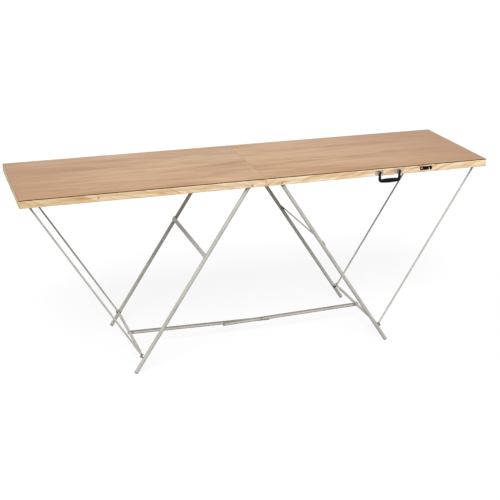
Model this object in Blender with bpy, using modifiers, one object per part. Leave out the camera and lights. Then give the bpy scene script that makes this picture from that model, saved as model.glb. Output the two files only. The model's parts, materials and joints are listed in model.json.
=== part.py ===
"""A folding wallpaper pasting table, standing open on its four feet.

Metres, +Z up, +X along the table and -Y towards its front. The origin is on
the floor under the middle of the table's box, which the carrying handle and
the bolt heads widen. Each half of the top carries a folding leg frame, a stay
that props that frame, and one bar of the jointed spreader.
"""

import math

import bmesh
import bpy
from mathutils import Matrix, Vector

# Sizes of the whole table
TABLE_LENGTH = 2.000
TABLE_WIDTH = 0.560
TABLE_HEIGHT = 0.800

# Gaps between pieces that touch, and between pieces that turn in each other
CLEARANCE = 0.0003
RUNNING_CLEARANCE = 0.0003
CUT_OVERRUN = 0.004
WELD_DISTANCE = 0.00001

# The top: a thin sheet on a frame of rails, for each half
SHEET_THICKNESS = 0.004
SHEET_EDGE_ROUND = 0.0006
RAIL_HEIGHT = 0.029
RAIL_THICKNESS = 0.012
RAIL_EDGE_ROUND = 0.0008
SEAM_GAP = 0.0006

# Butt hinges under the seam
HINGE_FROM_EDGE = 0.100
HINGE_LENGTH = 0.050
HINGE_LEAF_WIDTH = 0.0105
HINGE_LEAF_THICKNESS = 0.0012
KNUCKLE_RADIUS = 0.0030
HINGE_PIN_RADIUS = 0.0013

# Leg frames
LEG_RADIUS = 0.0080
LEG_WALL = 0.0010
LEG_SLOPE = math.radians(57.1)
LEG_PIVOT_FROM_SEAM = 0.064
LEG_PIVOT_RISE = 0.0095
LEG_TOP_OVERHANG = 0.0100
LEG_SIDE_CLEARANCE = 0.0005
FOOT_CAP_THICKNESS = 0.0030
FOOT_STEM_LENGTH = 0.0150
STRIP_DISTANCE = 0.350
STRIP_WIDTH = 0.018
STRIP_THICKNESS = 0.0020
STRIP_CORNER_ROUND = 0.0006

# Bolts that the legs turn on
BOLT_RADIUS = 0.0025
BOLT_HEAD_RADIUS = 0.0045
BOLT_HEAD_HEIGHT = 0.0018
NUT_RADIUS = 0.0048
NUT_THICKNESS = 0.0024

# Hooks on the legs that catch the stays' cross rods
HOOK_THICKNESS = 0.0025
HOOK_BELOW_ROD = 0.0085
HOOK_ABOVE_ROD = 0.0075
HOOK_WALL = 0.0028
HOOK_ROOT = 0.0050
HOOK_NOTCH_CLEARANCE = 0.0006
HOOK_MOUTH_ANGLE = math.radians(238)

# Stays: two rods and a cross rod that sits in the hooks
STAY_ROD_RADIUS = 0.0040
STAY_PIVOT_FROM_END = 0.033
STAY_PIVOT_RISE = 0.0080
STAY_SIDE_CLEARANCE = 0.0005
STAY_BEND_RADIUS = 0.0050
STAY_STUB_LENGTH = 0.0050
ROD_ON_LEG_HEIGHT = 0.0110
ROD_FROM_FOOT = 0.0745
SLEEVE_RADIUS = 0.0062
SLEEVE_LENGTH = 0.400

# Brackets that hold the stays to the end rails
BRACKET_THICKNESS = 0.0016
BRACKET_WIDTH = 0.022
BRACKET_RISE = 0.0190
BRACKET_EYE_RADIUS = 0.0074
BRACKET_EYE_STEP = 0.0003

# Spreader bars between the two cross rods
SPREADER_THICKNESS = 0.0030
SPREADER_HEIGHT = 0.0165
SPREADER_EYE_RADIUS = 0.0090
SPREADER_SAG = 0.0130
SPREADER_OVERLAP = 0.110
SPREADER_SIDE_GAP = 0.0002
RIVET_FROM_MIDDLE = 0.070
RIVET_RADIUS = 0.0020
RIVET_HEAD_RADIUS = 0.0040
RIVET_HEAD_HEIGHT = 0.0015

# Carrying handle on the right front rail
HANDLE_FROM_SEAM = 0.5420
HANDLE_SPACING = 0.0900
HANDLE_RISE = 0.0165
MOUNT_WIDTH = 0.0410
MOUNT_HEIGHT = 0.0164
MOUNT_WAIST = 0.0140
MOUNT_THICKNESS = 0.0016
HANDLE_AXIS_OUT = 0.0085
EAR_THICKNESS = 0.0016
EAR_RADIUS = 0.0042
HANDLE_PIN_RADIUS = 0.0016
GRIP_EYE_WIDTH = 0.0092
GRIP_EYE_RADIUS = 0.0052
GRIP_ARM_RADIUS = 0.0046
GRIP_BEND_RADIUS = 0.0062
GRIP_RADIUS = 0.0098
GRIP_DROP = 0.0370
GRIP_CORNER = 0.0100

# Latch plate on the right front rail and its stud on the left one
LATCH_FROM_SEAM = 0.6935
LATCH_RISE = 0.0175
LATCH_LENGTH = 0.0550
LATCH_HEIGHT = 0.0150
LATCH_THICKNESS = 0.0020
LATCH_HEEL = 0.0075
LATCH_NOTCH_WIDTH = 0.0050
LATCH_SCREW_RADIUS = 0.0020
LATCH_HEAD_RADIUS = 0.0036
LATCH_HEAD_HEIGHT = 0.0014
LATCH_SCREW_DEPTH = 0.0100

# Number of sides of round pieces
LEG_SIDES = 20
ROD_SIDES = 16
SMALL_SIDES = 16
NUT_SIDES = 6
BEND_STEPS = 5
SMOOTH_ANGLE = math.radians(40)

# Places worked out from the sizes above
FRAME_BOTTOM = TABLE_HEIGHT - SHEET_THICKNESS - CLEARANCE - RAIL_HEIGHT
HALF_LENGTH = TABLE_LENGTH / 2
HALF_WIDTH = TABLE_WIDTH / 2
SEAM_START = SEAM_GAP / 2
RAIL_INSIDE = HALF_WIDTH - RAIL_THICKNESS
LEG_PLACE = RAIL_INSIDE - LEG_SIDE_CLEARANCE - LEG_RADIUS
LEG_INSIDE = LEG_PLACE - LEG_RADIUS
HOOK_OUTSIDE = LEG_INSIDE - CLEARANCE
HOOK_INSIDE = HOOK_OUTSIDE - HOOK_THICKNESS
STAY_PLACE = HOOK_INSIDE - STAY_SIDE_CLEARANCE - STAY_ROD_RADIUS
STAY_PIVOT = HALF_LENGTH - STAY_PIVOT_FROM_END
LEG_PIVOT_HEIGHT = FRAME_BOTTOM + LEG_PIVOT_RISE
HINGE_PLACE = HALF_WIDTH - HINGE_FROM_EDGE
FRONT_REACH = HALF_WIDTH + HANDLE_AXIS_OUT + GRIP_RADIUS
REAR_REACH = HALF_WIDTH + CLEARANCE + BOLT_HEAD_HEIGHT
TABLE_MIDDLE = (FRONT_REACH - REAR_REACH) / 2

SIDES = {"left": -1, "right": 1}
ENDS = {"front": -1, "rear": 1}


def leg_length():
    """From the leg's pivot to its foot, whose low edge stands on the floor."""
    rise = LEG_PIVOT_HEIGHT - LEG_RADIUS * math.cos(LEG_SLOPE)
    return rise / math.sin(LEG_SLOPE)


LEG_LENGTH = leg_length()
ROD_DISTANCE = LEG_LENGTH - ROD_FROM_FOOT


def stay_pose():
    """The stay's slope and length, and the place of its cross rod on the legs.

    The cross rod lies a set distance from the foot and a set height outside
    the leg's axis, and the stay reaches it there from its own pivot.
    """
    along = Vector((math.cos(LEG_SLOPE), -math.sin(LEG_SLOPE)))
    outward = Vector((math.sin(LEG_SLOPE), math.cos(LEG_SLOPE)))
    leg_pivot = Vector((LEG_PIVOT_FROM_SEAM, LEG_PIVOT_RISE))
    stay_pivot = Vector((STAY_PIVOT, STAY_PIVOT_RISE))
    rod_place = leg_pivot + along * ROD_DISTANCE + outward * ROD_ON_LEG_HEIGHT
    reach = stay_pivot - rod_place
    return math.atan2(reach.y, reach.x), reach.length, rod_place


STAY_SLOPE, STAY_LENGTH, ROD_PLACE = stay_pose()
SPREADER_SLOPE = math.asin(SPREADER_SAG / ROD_PLACE.x)
SPREADER_LENGTH = (ROD_PLACE.x + SPREADER_OVERLAP) / math.cos(SPREADER_SLOPE)


def empty_scene():
    for found in list(bpy.data.objects):
        bpy.data.objects.remove(found, do_unlink=True)


def new_collection(name):
    collection = bpy.data.collections.new(name)
    bpy.context.scene.collection.children.link(collection)
    return collection


empty_scene()
PARTS = new_collection("pasting_table")
CUTTERS = new_collection("cutters")


def new_material(name, colour, roughness, metallic):
    material = bpy.data.materials.new(name)
    material.use_nodes = True
    shader = material.node_tree.nodes["Principled BSDF"]
    shader.inputs["Base Color"].default_value = (*colour, 1)
    shader.inputs["Roughness"].default_value = roughness
    shader.inputs["Metallic"].default_value = metallic
    return material


PLYWOOD = new_material("plywood", (0.56, 0.36, 0.22), 0.55, 0)
PINE = new_material("pine", (0.78, 0.60, 0.36), 0.60, 0)
PAINTED_STEEL = new_material("painted_steel", (0.45, 0.43, 0.38), 0.42, 0)
BRIGHT_STEEL = new_material("bright_steel", (0.62, 0.61, 0.58), 0.28, 1)
DARK_STEEL = new_material("dark_steel", (0.10, 0.095, 0.085), 0.45, 0)
BLACK_STEEL = new_material("black_steel", (0.012, 0.012, 0.012), 0.38, 0)
BLACK_PLASTIC = new_material("black_plastic", (0.010, 0.010, 0.011), 0.30, 0)
FOOT_PLASTIC = new_material("foot_plastic", (0.07, 0.068, 0.063), 0.55, 0)
BRASS = new_material("brass", (0.40, 0.25, 0.11), 0.35, 1)


def empty(name, parent=None, place=(0, 0, 0), turn=0, about="Y"):
    """An empty that carries pieces, turned about one axis by an angle."""
    carrier = bpy.data.objects.new(name, None)
    PARTS.objects.link(carrier)
    carrier.parent = parent
    carrier.location = place
    carrier.rotation_euler = Matrix.Rotation(turn, 3, about).to_euler()
    return carrier


def add_object(name, mesh, parent, place, turn, material):
    piece = bpy.data.objects.new(name, mesh)
    piece.parent = parent
    piece.location = place
    piece.rotation_euler = turn
    if material is None:
        CUTTERS.objects.link(piece)
        piece.hide_render = True
        piece.display_type = "WIRE"
    else:
        PARTS.objects.link(piece)
        mesh.materials.append(material)
    return piece


def box(name, low, high, parent, material=None, edge_round=0):
    """A box between two corners in its parent's frame. With no material it is a cutter."""
    low, high = Vector(low), Vector(high)
    shape = bmesh.new()
    bmesh.ops.create_cube(shape, size=1)
    bmesh.ops.scale(shape, vec=high - low, verts=shape.verts)
    mesh = bpy.data.meshes.new(name)
    shape.to_mesh(mesh)
    shape.free()
    piece = add_object(name, mesh, parent, (low + high) / 2, (0, 0, 0), material)
    if edge_round:
        bevel = piece.modifiers.new("edge_round", "BEVEL")
        bevel.width = edge_round
        bevel.segments = 1
    return piece


def axis_turn(axis):
    """The turn that lays a Z-long shape along an axis."""
    return Vector((0, 0, 1)).rotation_difference(Vector(axis)).to_euler()


def rod(name, start, end, radius, sides, parent, material=None, turn_sides=0):
    """A round rod between two points in its parent's frame."""
    start, end = Vector(start), Vector(end)
    shape = bmesh.new()
    bmesh.ops.create_cone(
        shape,
        cap_ends=True,
        segments=sides,
        radius1=radius,
        radius2=radius,
        depth=(end - start).length,
        matrix=Matrix.Rotation(turn_sides, 4, "Z"),
    )
    mesh = bpy.data.meshes.new(name)
    shape.to_mesh(mesh)
    shape.free()
    mesh.shade_smooth()
    mesh.set_sharp_from_angle(angle=SMOOTH_ANGLE)
    turn = axis_turn((end - start).normalized())
    return add_object(name, mesh, parent, (start + end) / 2, turn, material)


def turned(name, profile, sides, parent, place, axis, material):
    """A turned shape: (radius, height) points down its outer side, spun round an axis."""
    mesh = bpy.data.meshes.new(name)
    points = [(radius, 0, height) for radius, height in profile]
    edges = [(i, i + 1) for i in range(len(points) - 1)]
    mesh.from_pydata(points, edges, [])
    piece = add_object(name, mesh, parent, place, axis_turn(axis), material)
    screw = piece.modifiers.new("turned", "SCREW")
    screw.steps = sides
    screw.render_steps = sides
    screw.use_merge_vertices = True
    screw.merge_threshold = WELD_DISTANCE
    screw.use_smooth_shade = True
    return piece


def cut(piece, cutter):
    boolean = piece.modifiers.new(cutter.name, "BOOLEAN")
    boolean.operation = "DIFFERENCE"
    boolean.solver = "EXACT"
    boolean.object = cutter


def join(piece, added):
    boolean = piece.modifiers.new(added.name, "BOOLEAN")
    boolean.operation = "UNION"
    boolean.solver = "EXACT"
    boolean.object = added


def drill(piece, name, start, end, radius, parent):
    """Drills a hole right through between two points, with an overrun at each end."""
    start, end = Vector(start), Vector(end)
    along = (end - start).normalized() * CUT_OVERRUN
    cut(piece, rod(name, start - along, end + along, radius, SMALL_SIDES, parent))


def mesh_copy(curve, material):
    """Makes a curve a mesh with welded caps, so that it can take a Boolean."""
    bpy.context.view_layer.update()
    graph = bpy.context.evaluated_depsgraph_get()
    mesh = bpy.data.meshes.new_from_object(curve.evaluated_get(graph))
    shape = bmesh.new()
    shape.from_mesh(mesh)
    bmesh.ops.remove_doubles(shape, verts=shape.verts, dist=WELD_DISTANCE)
    bmesh.ops.recalc_face_normals(shape, faces=shape.faces)
    shape.to_mesh(mesh)
    shape.free()
    mesh.materials.clear()
    name, parent = curve.name, curve.parent
    place, turn = curve.location.copy(), curve.rotation_euler.copy()
    bpy.data.objects.remove(curve, do_unlink=True)
    mesh.shade_smooth()
    mesh.set_sharp_from_angle(angle=SMOOTH_ANGLE)
    return add_object(name, mesh, parent, place, turn, material)


def bent_rod(name, points, radii, resolution, parent, place, material):
    """A round rod along points, with its own radius at each."""
    curve = bpy.data.curves.new(name, "CURVE")
    curve.dimensions = "3D"
    curve.bevel_depth = 1
    curve.bevel_resolution = resolution
    curve.use_fill_caps = True
    spline = curve.splines.new("POLY")
    spline.points.add(len(points) - 1)
    for node, point, radius in zip(spline.points, points, radii):
        node.co = (*point, 1)
        node.radius = radius
    bent = bpy.data.objects.new(name, curve)
    bent.parent = parent
    bent.location = place
    PARTS.objects.link(bent)
    return mesh_copy(bent, material)


def arc(centre, first, second, radius, steps):
    """Points on a quarter turn round a centre, from one direction to the other."""
    found = []
    for i in range(steps + 1):
        angle = math.radians(90) * i / steps
        direction = first * math.cos(angle) + second * math.sin(angle)
        found.append(centre + direction * radius)
    return found


# The top's two halves, each with its own frame at the hinge line.
# There +X runs away from the seam and Z = 0 is the rails' lower face.

def make_half(side):
    turn = math.pi if side == "left" else 0
    place = (0, TABLE_MIDDLE, FRAME_BOTTOM)
    return empty(f"{side}_half_frame", place=place, turn=turn, about="Z")


def across(side, end):
    """+1 or -1: which way a table end, front or rear, lies in a half's own frame."""
    return SIDES[side] * ENDS[end]


def make_top_sheet(side, half):
    low = (SEAM_START, -HALF_WIDTH, RAIL_HEIGHT + CLEARANCE)
    high = (HALF_LENGTH, HALF_WIDTH, RAIL_HEIGHT + CLEARANCE + SHEET_THICKNESS)
    box(f"{side}_top_sheet", low, high, half, PLYWOOD, SHEET_EDGE_ROUND)


def make_long_rail(side, end, half):
    sign = across(side, end)
    outside, inside = sign * HALF_WIDTH, sign * RAIL_INSIDE
    low = (SEAM_START, min(outside, inside), 0)
    high = (HALF_LENGTH, max(outside, inside), RAIL_HEIGHT)
    rail = box(f"{side}_{end}_rail", low, high, half, PINE, RAIL_EDGE_ROUND)
    pivot = (LEG_PIVOT_FROM_SEAM, LEG_PIVOT_RISE)
    drill(
        rail,
        f"{side}_{end}_bolt_hole",
        (pivot[0], inside, pivot[1]),
        (pivot[0], outside, pivot[1]),
        BOLT_RADIUS + RUNNING_CLEARANCE,
        half,
    )
    return rail


def make_cross_rail(name, near, far, half):
    inside = RAIL_INSIDE - CLEARANCE
    low, high = (near, -inside, 0), (far, inside, RAIL_HEIGHT)
    return box(name, low, high, half, PINE, RAIL_EDGE_ROUND)


def let_in_hinge(rail, side, end, half):
    """Cuts the pocket for a hinge leaf and the groove for its knuckle."""
    middle = across(side, end) * HINGE_PLACE
    reach = HINGE_LENGTH / 2 + CLEARANCE
    pocket = box(
        f"{side}_{end}_leaf_pocket",
        (-CUT_OVERRUN, middle - reach, -CUT_OVERRUN),
        (HINGE_LEAF_WIDTH + CLEARANCE, middle + reach, HINGE_LEAF_THICKNESS + CLEARANCE),
        half,
    )
    cut(rail, pocket)
    groove = rod(
        f"{side}_{end}_knuckle_groove",
        (0, middle - reach, 0),
        (0, middle + reach, 0),
        KNUCKLE_RADIUS + RUNNING_CLEARANCE,
        ROD_SIDES,
        half,
    )
    cut(rail, groove)


def make_hinge_leaf(side, end, half):
    """A leaf with its knuckles: the right leaf has the middle one, the left the outer two."""
    middle = across(side, end) * HINGE_PLACE
    half_length = HINGE_LENGTH / 2
    third = HINGE_LENGTH / 6
    name = f"{side}_{end}_hinge_leaf"
    low = (0, middle - half_length, 0)
    high = (HINGE_LEAF_WIDTH, middle + half_length, HINGE_LEAF_THICKNESS)
    leaf = box(name, low, high, half, BRIGHT_STEEL)
    own_spans = [(-third, third)]
    other_spans = [(-half_length, -third), (third, half_length)]
    if side == "left":
        own_spans, other_spans = other_spans, own_spans
    for number, (start, stop) in enumerate(own_spans):
        knuckle = rod(
            f"{name}_knuckle_{number}",
            (0, middle + start, 0),
            (0, middle + stop, 0),
            KNUCKLE_RADIUS,
            ROD_SIDES,
            half,
        )
        join(leaf, knuckle)
    for number, (start, stop) in enumerate(other_spans):
        before = CUT_OVERRUN if start == -half_length else RUNNING_CLEARANCE
        after = CUT_OVERRUN if stop == half_length else RUNNING_CLEARANCE
        relief = rod(
            f"{name}_relief_{number}",
            (0, middle + start - before, 0),
            (0, middle + stop + after, 0),
            KNUCKLE_RADIUS + RUNNING_CLEARANCE,
            ROD_SIDES,
            half,
        )
        cut(leaf, relief)
    ends = (0, middle - half_length, 0), (0, middle + half_length, 0)
    bore = HINGE_PIN_RADIUS + RUNNING_CLEARANCE
    drill(leaf, f"{name}_bore", *ends, bore, half)


def make_hinge_pin(end, half):
    middle = across("left", end) * HINGE_PLACE
    start = (0, middle - HINGE_LENGTH / 2, 0)
    stop = (0, middle + HINGE_LENGTH / 2, 0)
    rod(f"{end}_hinge_pin", start, stop, HINGE_PIN_RADIUS, SMALL_SIDES, half, DARK_STEEL)


def make_leg_bolt(side, end, half):
    """The bolt through the rail and the leg's top end, with its domed head outside."""
    sign = across(side, end)
    head_base = HALF_WIDTH + CLEARANCE
    tip = HOOK_INSIDE - CLEARANCE
    dome = BOLT_HEAD_RADIUS - BOLT_HEAD_HEIGHT / 2
    profile = [
        (0, head_base + BOLT_HEAD_HEIGHT),
        (dome, head_base + BOLT_HEAD_HEIGHT * 3 / 4),
        (BOLT_HEAD_RADIUS, head_base + BOLT_HEAD_HEIGHT / 4),
        (BOLT_HEAD_RADIUS, head_base),
        (BOLT_RADIUS, head_base),
        (BOLT_RADIUS, tip),
        (0, tip),
    ]
    place = (LEG_PIVOT_FROM_SEAM, 0, LEG_PIVOT_RISE)
    axis = (0, sign, 0)
    turned(f"{side}_{end}_leg_bolt", profile, SMALL_SIDES, half, place, axis, BRIGHT_STEEL)


def make_leg_nut(side, end, half):
    sign = across(side, end)
    name = f"{side}_{end}_leg_nut"
    outer = sign * HOOK_OUTSIDE
    inner = sign * (HOOK_OUTSIDE - NUT_THICKNESS)
    pivot = (LEG_PIVOT_FROM_SEAM, LEG_PIVOT_RISE)
    start, stop = (pivot[0], inner, pivot[1]), (pivot[0], outer, pivot[1])
    nut = rod(name, start, stop, NUT_RADIUS, NUT_SIDES, half, BRIGHT_STEEL)
    drill(nut, f"{name}_bore", start, stop, BOLT_RADIUS + CLEARANCE, half)


# A leg frame: +X runs down the legs from their pivot, +Z out towards the table's end.

def make_leg_frame(side, half):
    place = (LEG_PIVOT_FROM_SEAM, 0, LEG_PIVOT_RISE)
    return empty(f"{side}_leg_axis", half, place, LEG_SLOPE)


def make_leg(side, end, frame):
    middle = across(side, end) * LEG_PLACE
    name = f"{side}_{end}_leg"
    top = (-LEG_TOP_OVERHANG, middle, 0)
    bottom = (LEG_LENGTH - FOOT_CAP_THICKNESS - CLEARANCE, middle, 0)
    leg = rod(name, top, bottom, LEG_RADIUS, LEG_SIDES, frame, PAINTED_STEEL)
    bore = rod(
        f"{name}_inside",
        (top[0] - CUT_OVERRUN, middle, 0),
        (bottom[0] + CUT_OVERRUN, middle, 0),
        LEG_RADIUS - LEG_WALL,
        LEG_SIDES,
        frame,
    )
    cut(leg, bore)
    drill(
        leg,
        f"{name}_bolt_hole",
        (0, middle - LEG_RADIUS, 0),
        (0, middle + LEG_RADIUS, 0),
        BOLT_RADIUS + RUNNING_CLEARANCE,
        frame,
    )


def make_foot_plug(side, end, frame):
    middle = across(side, end) * LEG_PLACE
    shoulder = LEG_LENGTH - FOOT_CAP_THICKNESS
    stem_radius = LEG_RADIUS - LEG_WALL - CLEARANCE
    profile = [
        (0, LEG_LENGTH),
        (LEG_RADIUS, LEG_LENGTH),
        (LEG_RADIUS, shoulder),
        (stem_radius, shoulder),
        (stem_radius, shoulder - FOOT_STEM_LENGTH),
        (0, shoulder - FOOT_STEM_LENGTH),
    ]
    name = f"{side}_{end}_foot_plug"
    turned(name, profile, LEG_SIDES, frame, (0, middle, 0), (1, 0, 0), FOOT_PLASTIC)


def make_cross_strip(side, frame):
    reach = LEG_PLACE + LEG_RADIUS
    under = LEG_RADIUS + CLEARANCE
    low = (STRIP_DISTANCE - STRIP_WIDTH / 2, -reach, under)
    high = (STRIP_DISTANCE + STRIP_WIDTH / 2, reach, under + STRIP_THICKNESS)
    box(f"{side}_cross_strip", low, high, frame, PAINTED_STEEL, STRIP_CORNER_ROUND)


def make_rod_hook(side, end, frame):
    """A plate on the leg's inner face with a notch for the cross rod's end."""
    sign = across(side, end)
    name = f"{side}_{end}_rod_hook"
    faces = sorted((sign * HOOK_INSIDE, sign * HOOK_OUTSIDE))
    rod_rise = ROD_ON_LEG_HEIGHT
    notch = STAY_ROD_RADIUS + HOOK_NOTCH_CLEARANCE
    low = (ROD_DISTANCE - HOOK_ABOVE_ROD, faces[0], -HOOK_ROOT)
    high = (ROD_DISTANCE + HOOK_BELOW_ROD, faces[1], rod_rise + notch + HOOK_WALL)
    hook = box(name, low, high, frame, DARK_STEEL)
    ends = [
        (ROD_DISTANCE, faces[0] - CUT_OVERRUN, rod_rise),
        (ROD_DISTANCE, faces[1] + CUT_OVERRUN, rod_rise),
    ]
    cut(hook, rod(f"{name}_seat", *ends, notch, ROD_SIDES, frame))
    mouth_frame = empty(
        f"{name}_mouth_axis",
        frame,
        (ROD_DISTANCE, 0, rod_rise),
        -HOOK_MOUTH_ANGLE,
    )
    mouth_length = (HOOK_BELOW_ROD + HOOK_ABOVE_ROD) * 2
    mouth = box(
        f"{name}_mouth",
        (0, faces[0] - CUT_OVERRUN, -notch),
        (mouth_length, faces[1] + CUT_OVERRUN, notch),
        mouth_frame,
    )
    cut(hook, mouth)


# A stay: +X runs from its pivot to its cross rod.

def make_stay_frame(side, half):
    place = (STAY_PIVOT, 0, STAY_PIVOT_RISE)
    return empty(f"{side}_stay_axis", half, place, math.pi - STAY_SLOPE)


def make_stay_rod(side, end, frame):
    """A rod with its upper end bent inwards through the bracket's eye."""
    sign = across(side, end)
    bend = STAY_BEND_RADIUS
    inward, along = Vector((0, -sign, 0)), Vector((1, 0, 0))
    corner_centre = Vector((bend, sign * (STAY_PLACE - bend), 0))
    points = [Vector((0, sign * (STAY_PLACE - bend - STAY_STUB_LENGTH), 0))]
    points += arc(corner_centre, -along, -inward, bend, BEND_STEPS)
    end_place = STAY_LENGTH - STAY_ROD_RADIUS - CLEARANCE
    points.append(Vector((end_place, sign * STAY_PLACE, 0)))
    radii = [STAY_ROD_RADIUS] * len(points)
    name = f"{side}_{end}_stay_rod"
    bent_rod(name, points, radii, 4, frame, (0, 0, 0), PAINTED_STEEL)


def make_cross_rod(side, frame):
    reach = HOOK_OUTSIDE - CLEARANCE
    start, stop = (STAY_LENGTH, -reach, 0), (STAY_LENGTH, reach, 0)
    name = f"{side}_stay_cross_rod"
    rod(name, start, stop, STAY_ROD_RADIUS, ROD_SIDES, frame, PAINTED_STEEL)


def make_sleeve(side, frame):
    name = f"{side}_cross_rod_sleeve"
    start = (STAY_LENGTH, -SLEEVE_LENGTH / 2, 0)
    stop = (STAY_LENGTH, SLEEVE_LENGTH / 2, 0)
    sleeve = rod(name, start, stop, SLEEVE_RADIUS, ROD_SIDES, frame, PAINTED_STEEL)
    drill(sleeve, f"{name}_bore", start, stop, STAY_ROD_RADIUS + CLEARANCE, frame)


def make_stay_bracket(side, end, half):
    """An angle plate on the end rail: its ear holds the bent end of a stay rod."""
    sign = across(side, end)
    name = f"{side}_{end}_stay_bracket"
    ear_outside = STAY_PLACE - STAY_BEND_RADIUS - CLEARANCE
    ear_inside = ear_outside - BRACKET_THICKNESS
    foot_face = HALF_LENGTH - RAIL_THICKNESS - CLEARANCE
    foot_inside = ear_outside - BRACKET_WIDTH
    foot_span = sorted((sign * ear_outside, sign * foot_inside))
    ear_span = sorted((sign * ear_outside, sign * ear_inside))
    bottom = CLEARANCE * 2
    foot = box(
        name,
        (foot_face - BRACKET_THICKNESS, foot_span[0], bottom),
        (foot_face, foot_span[1], bottom + BRACKET_RISE),
        half,
        BRIGHT_STEEL,
    )
    ear_reach = BRACKET_EYE_RADIUS - BRACKET_EYE_STEP
    ear_low, ear_high = ear_span
    ear = box(
        f"{name}_ear",
        (STAY_PIVOT, ear_low + BRACKET_EYE_STEP / 2, STAY_PIVOT_RISE - ear_reach),
        (foot_face - BRACKET_THICKNESS / 2, ear_high - BRACKET_EYE_STEP / 2, STAY_PIVOT_RISE + ear_reach),
        half,
    )
    join(foot, ear)
    eye_ends = [(STAY_PIVOT, place, STAY_PIVOT_RISE) for place in ear_span]
    eye = rod(f"{name}_eye", *eye_ends, BRACKET_EYE_RADIUS, ROD_SIDES, half)
    join(foot, eye)
    bore = STAY_ROD_RADIUS + RUNNING_CLEARANCE
    drill(foot, f"{name}_bore", *eye_ends, bore, half)


# A spreader bar: +X runs from its cross rod to its free end.

def make_spreader_frame(side, stay_frame):
    place = (STAY_LENGTH, 0, 0)
    turn = STAY_SLOPE - SPREADER_SLOPE
    return empty(f"{side}_spreader_axis", stay_frame, place, turn)


def make_spreader_bar(side, frame):
    """A flat bar on edge, with an eye round the sleeve at one end."""
    name = f"{side}_spreader_bar"
    near = -SPREADER_SIDE_GAP
    far = near - SPREADER_THICKNESS
    low = (0, far, -SPREADER_HEIGHT / 2)
    high = (SPREADER_LENGTH, near, SPREADER_HEIGHT / 2)
    bar = box(name, low, high, frame, PAINTED_STEEL)
    eye = rod(f"{name}_eye", (0, far, 0), (0, near, 0), SPREADER_EYE_RADIUS, LEG_SIDES, frame)
    join(bar, eye)
    bore = SLEEVE_RADIUS + RUNNING_CLEARANCE
    drill(bar, f"{name}_bore", (0, far, 0), (0, near, 0), bore, frame)
    hole = rivet_distance(side)
    ends = (hole, far, 0), (hole, near, 0)
    drill(bar, f"{name}_rivet_hole", *ends, RIVET_RADIUS + RUNNING_CLEARANCE, frame)


def rivet_distance(side):
    """How far along a bar the rivet that joins the two bars lies."""
    from_rod = ROD_PLACE.x - SIDES[side] * RIVET_FROM_MIDDLE
    return from_rod / math.cos(SPREADER_SLOPE)


def make_spreader_rivet(frame):
    """The rivet sits in the right bar and stops short of the left one."""
    face = SPREADER_SIDE_GAP + SPREADER_THICKNESS + CLEARANCE
    crown = RIVET_HEAD_RADIUS - RIVET_HEAD_HEIGHT / 2
    profile = [
        (0, face + RIVET_HEAD_HEIGHT),
        (crown, face + RIVET_HEAD_HEIGHT * 3 / 4),
        (RIVET_HEAD_RADIUS, face),
        (RIVET_RADIUS, face),
        (RIVET_RADIUS, SPREADER_SIDE_GAP * 2),
        (0, SPREADER_SIDE_GAP * 2),
    ]
    place = (rivet_distance("right"), 0, 0)
    name = "spreader_rivet"
    turned(name, profile, SMALL_SIDES, frame, place, (0, -1, 0), BRIGHT_STEEL)


# The carrying handle and the latch, on the rails' front faces

def make_handle_mount(name, centre, half):
    """A plate with wide round ends, and the two ears and pin that the handle hangs from."""
    back = -HALF_WIDTH - CLEARANCE
    front = back - MOUNT_THICKNESS
    axis = -HALF_WIDTH - HANDLE_AXIS_OUT
    end_radius = MOUNT_HEIGHT / 2
    reach = MOUNT_WIDTH / 2 - end_radius
    low = (centre - reach, front, HANDLE_RISE - MOUNT_WAIST / 2)
    high = (centre + reach, back, HANDLE_RISE + MOUNT_WAIST / 2)
    mount = box(name, low, high, half, BRIGHT_STEEL)
    for sign in SIDES.values():
        place = centre + sign * reach
        ends = [(place, back, HANDLE_RISE), (place, front, HANDLE_RISE)]
        join(mount, rod(f"{name}_end_{sign}", *ends, end_radius, ROD_SIDES, half))
    ear_near = GRIP_EYE_WIDTH / 2 + RUNNING_CLEARANCE
    ear_far = ear_near + EAR_THICKNESS
    for sign in SIDES.values():
        span = sorted((centre + sign * ear_near, centre + sign * ear_far))
        ear = box(
            f"{name}_ear_{sign}",
            (span[0], axis, HANDLE_RISE - EAR_RADIUS),
            (span[1], back - MOUNT_THICKNESS / 2, HANDLE_RISE + EAR_RADIUS),
            half,
        )
        join(mount, ear)
        ends = [(place, axis, HANDLE_RISE) for place in span]
        join(mount, rod(f"{name}_round_{sign}", *ends, EAR_RADIUS, ROD_SIDES, half))
    pin_ends = [
        (centre - ear_far - EAR_THICKNESS / 2, axis, HANDLE_RISE),
        (centre + ear_far + EAR_THICKNESS / 2, axis, HANDLE_RISE),
    ]
    join(mount, rod(f"{name}_pin", *pin_ends, HANDLE_PIN_RADIUS, SMALL_SIDES, half))


def grip_path():
    """Points and radii of the grip: down one arm, along the swelling bar and up again."""
    half_span = HANDLE_SPACING / 2
    down = Vector((0, 0, -1))
    outward = Vector((1, 0, 0))
    corner = Vector((half_span - GRIP_CORNER, 0, -GRIP_DROP + GRIP_CORNER))
    side_points = [Vector((half_span, 0, -GRIP_EYE_RADIUS / 2))]
    side_points += arc(corner, outward, down, GRIP_CORNER, BEND_STEPS)
    side_radii = [GRIP_ARM_RADIUS]
    for i in range(BEND_STEPS + 1):
        share = i / BEND_STEPS
        side_radii.append(GRIP_BEND_RADIUS + (GRIP_RADIUS - GRIP_BEND_RADIUS) * share / 2)
    middle = [Vector((0, 0, -GRIP_DROP))]
    mirrored = [Vector((-point.x, 0, point.z)) for point in reversed(side_points)]
    points = side_points + middle + mirrored
    radii = side_radii + [GRIP_RADIUS] + list(reversed(side_radii))
    return points, radii


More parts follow.
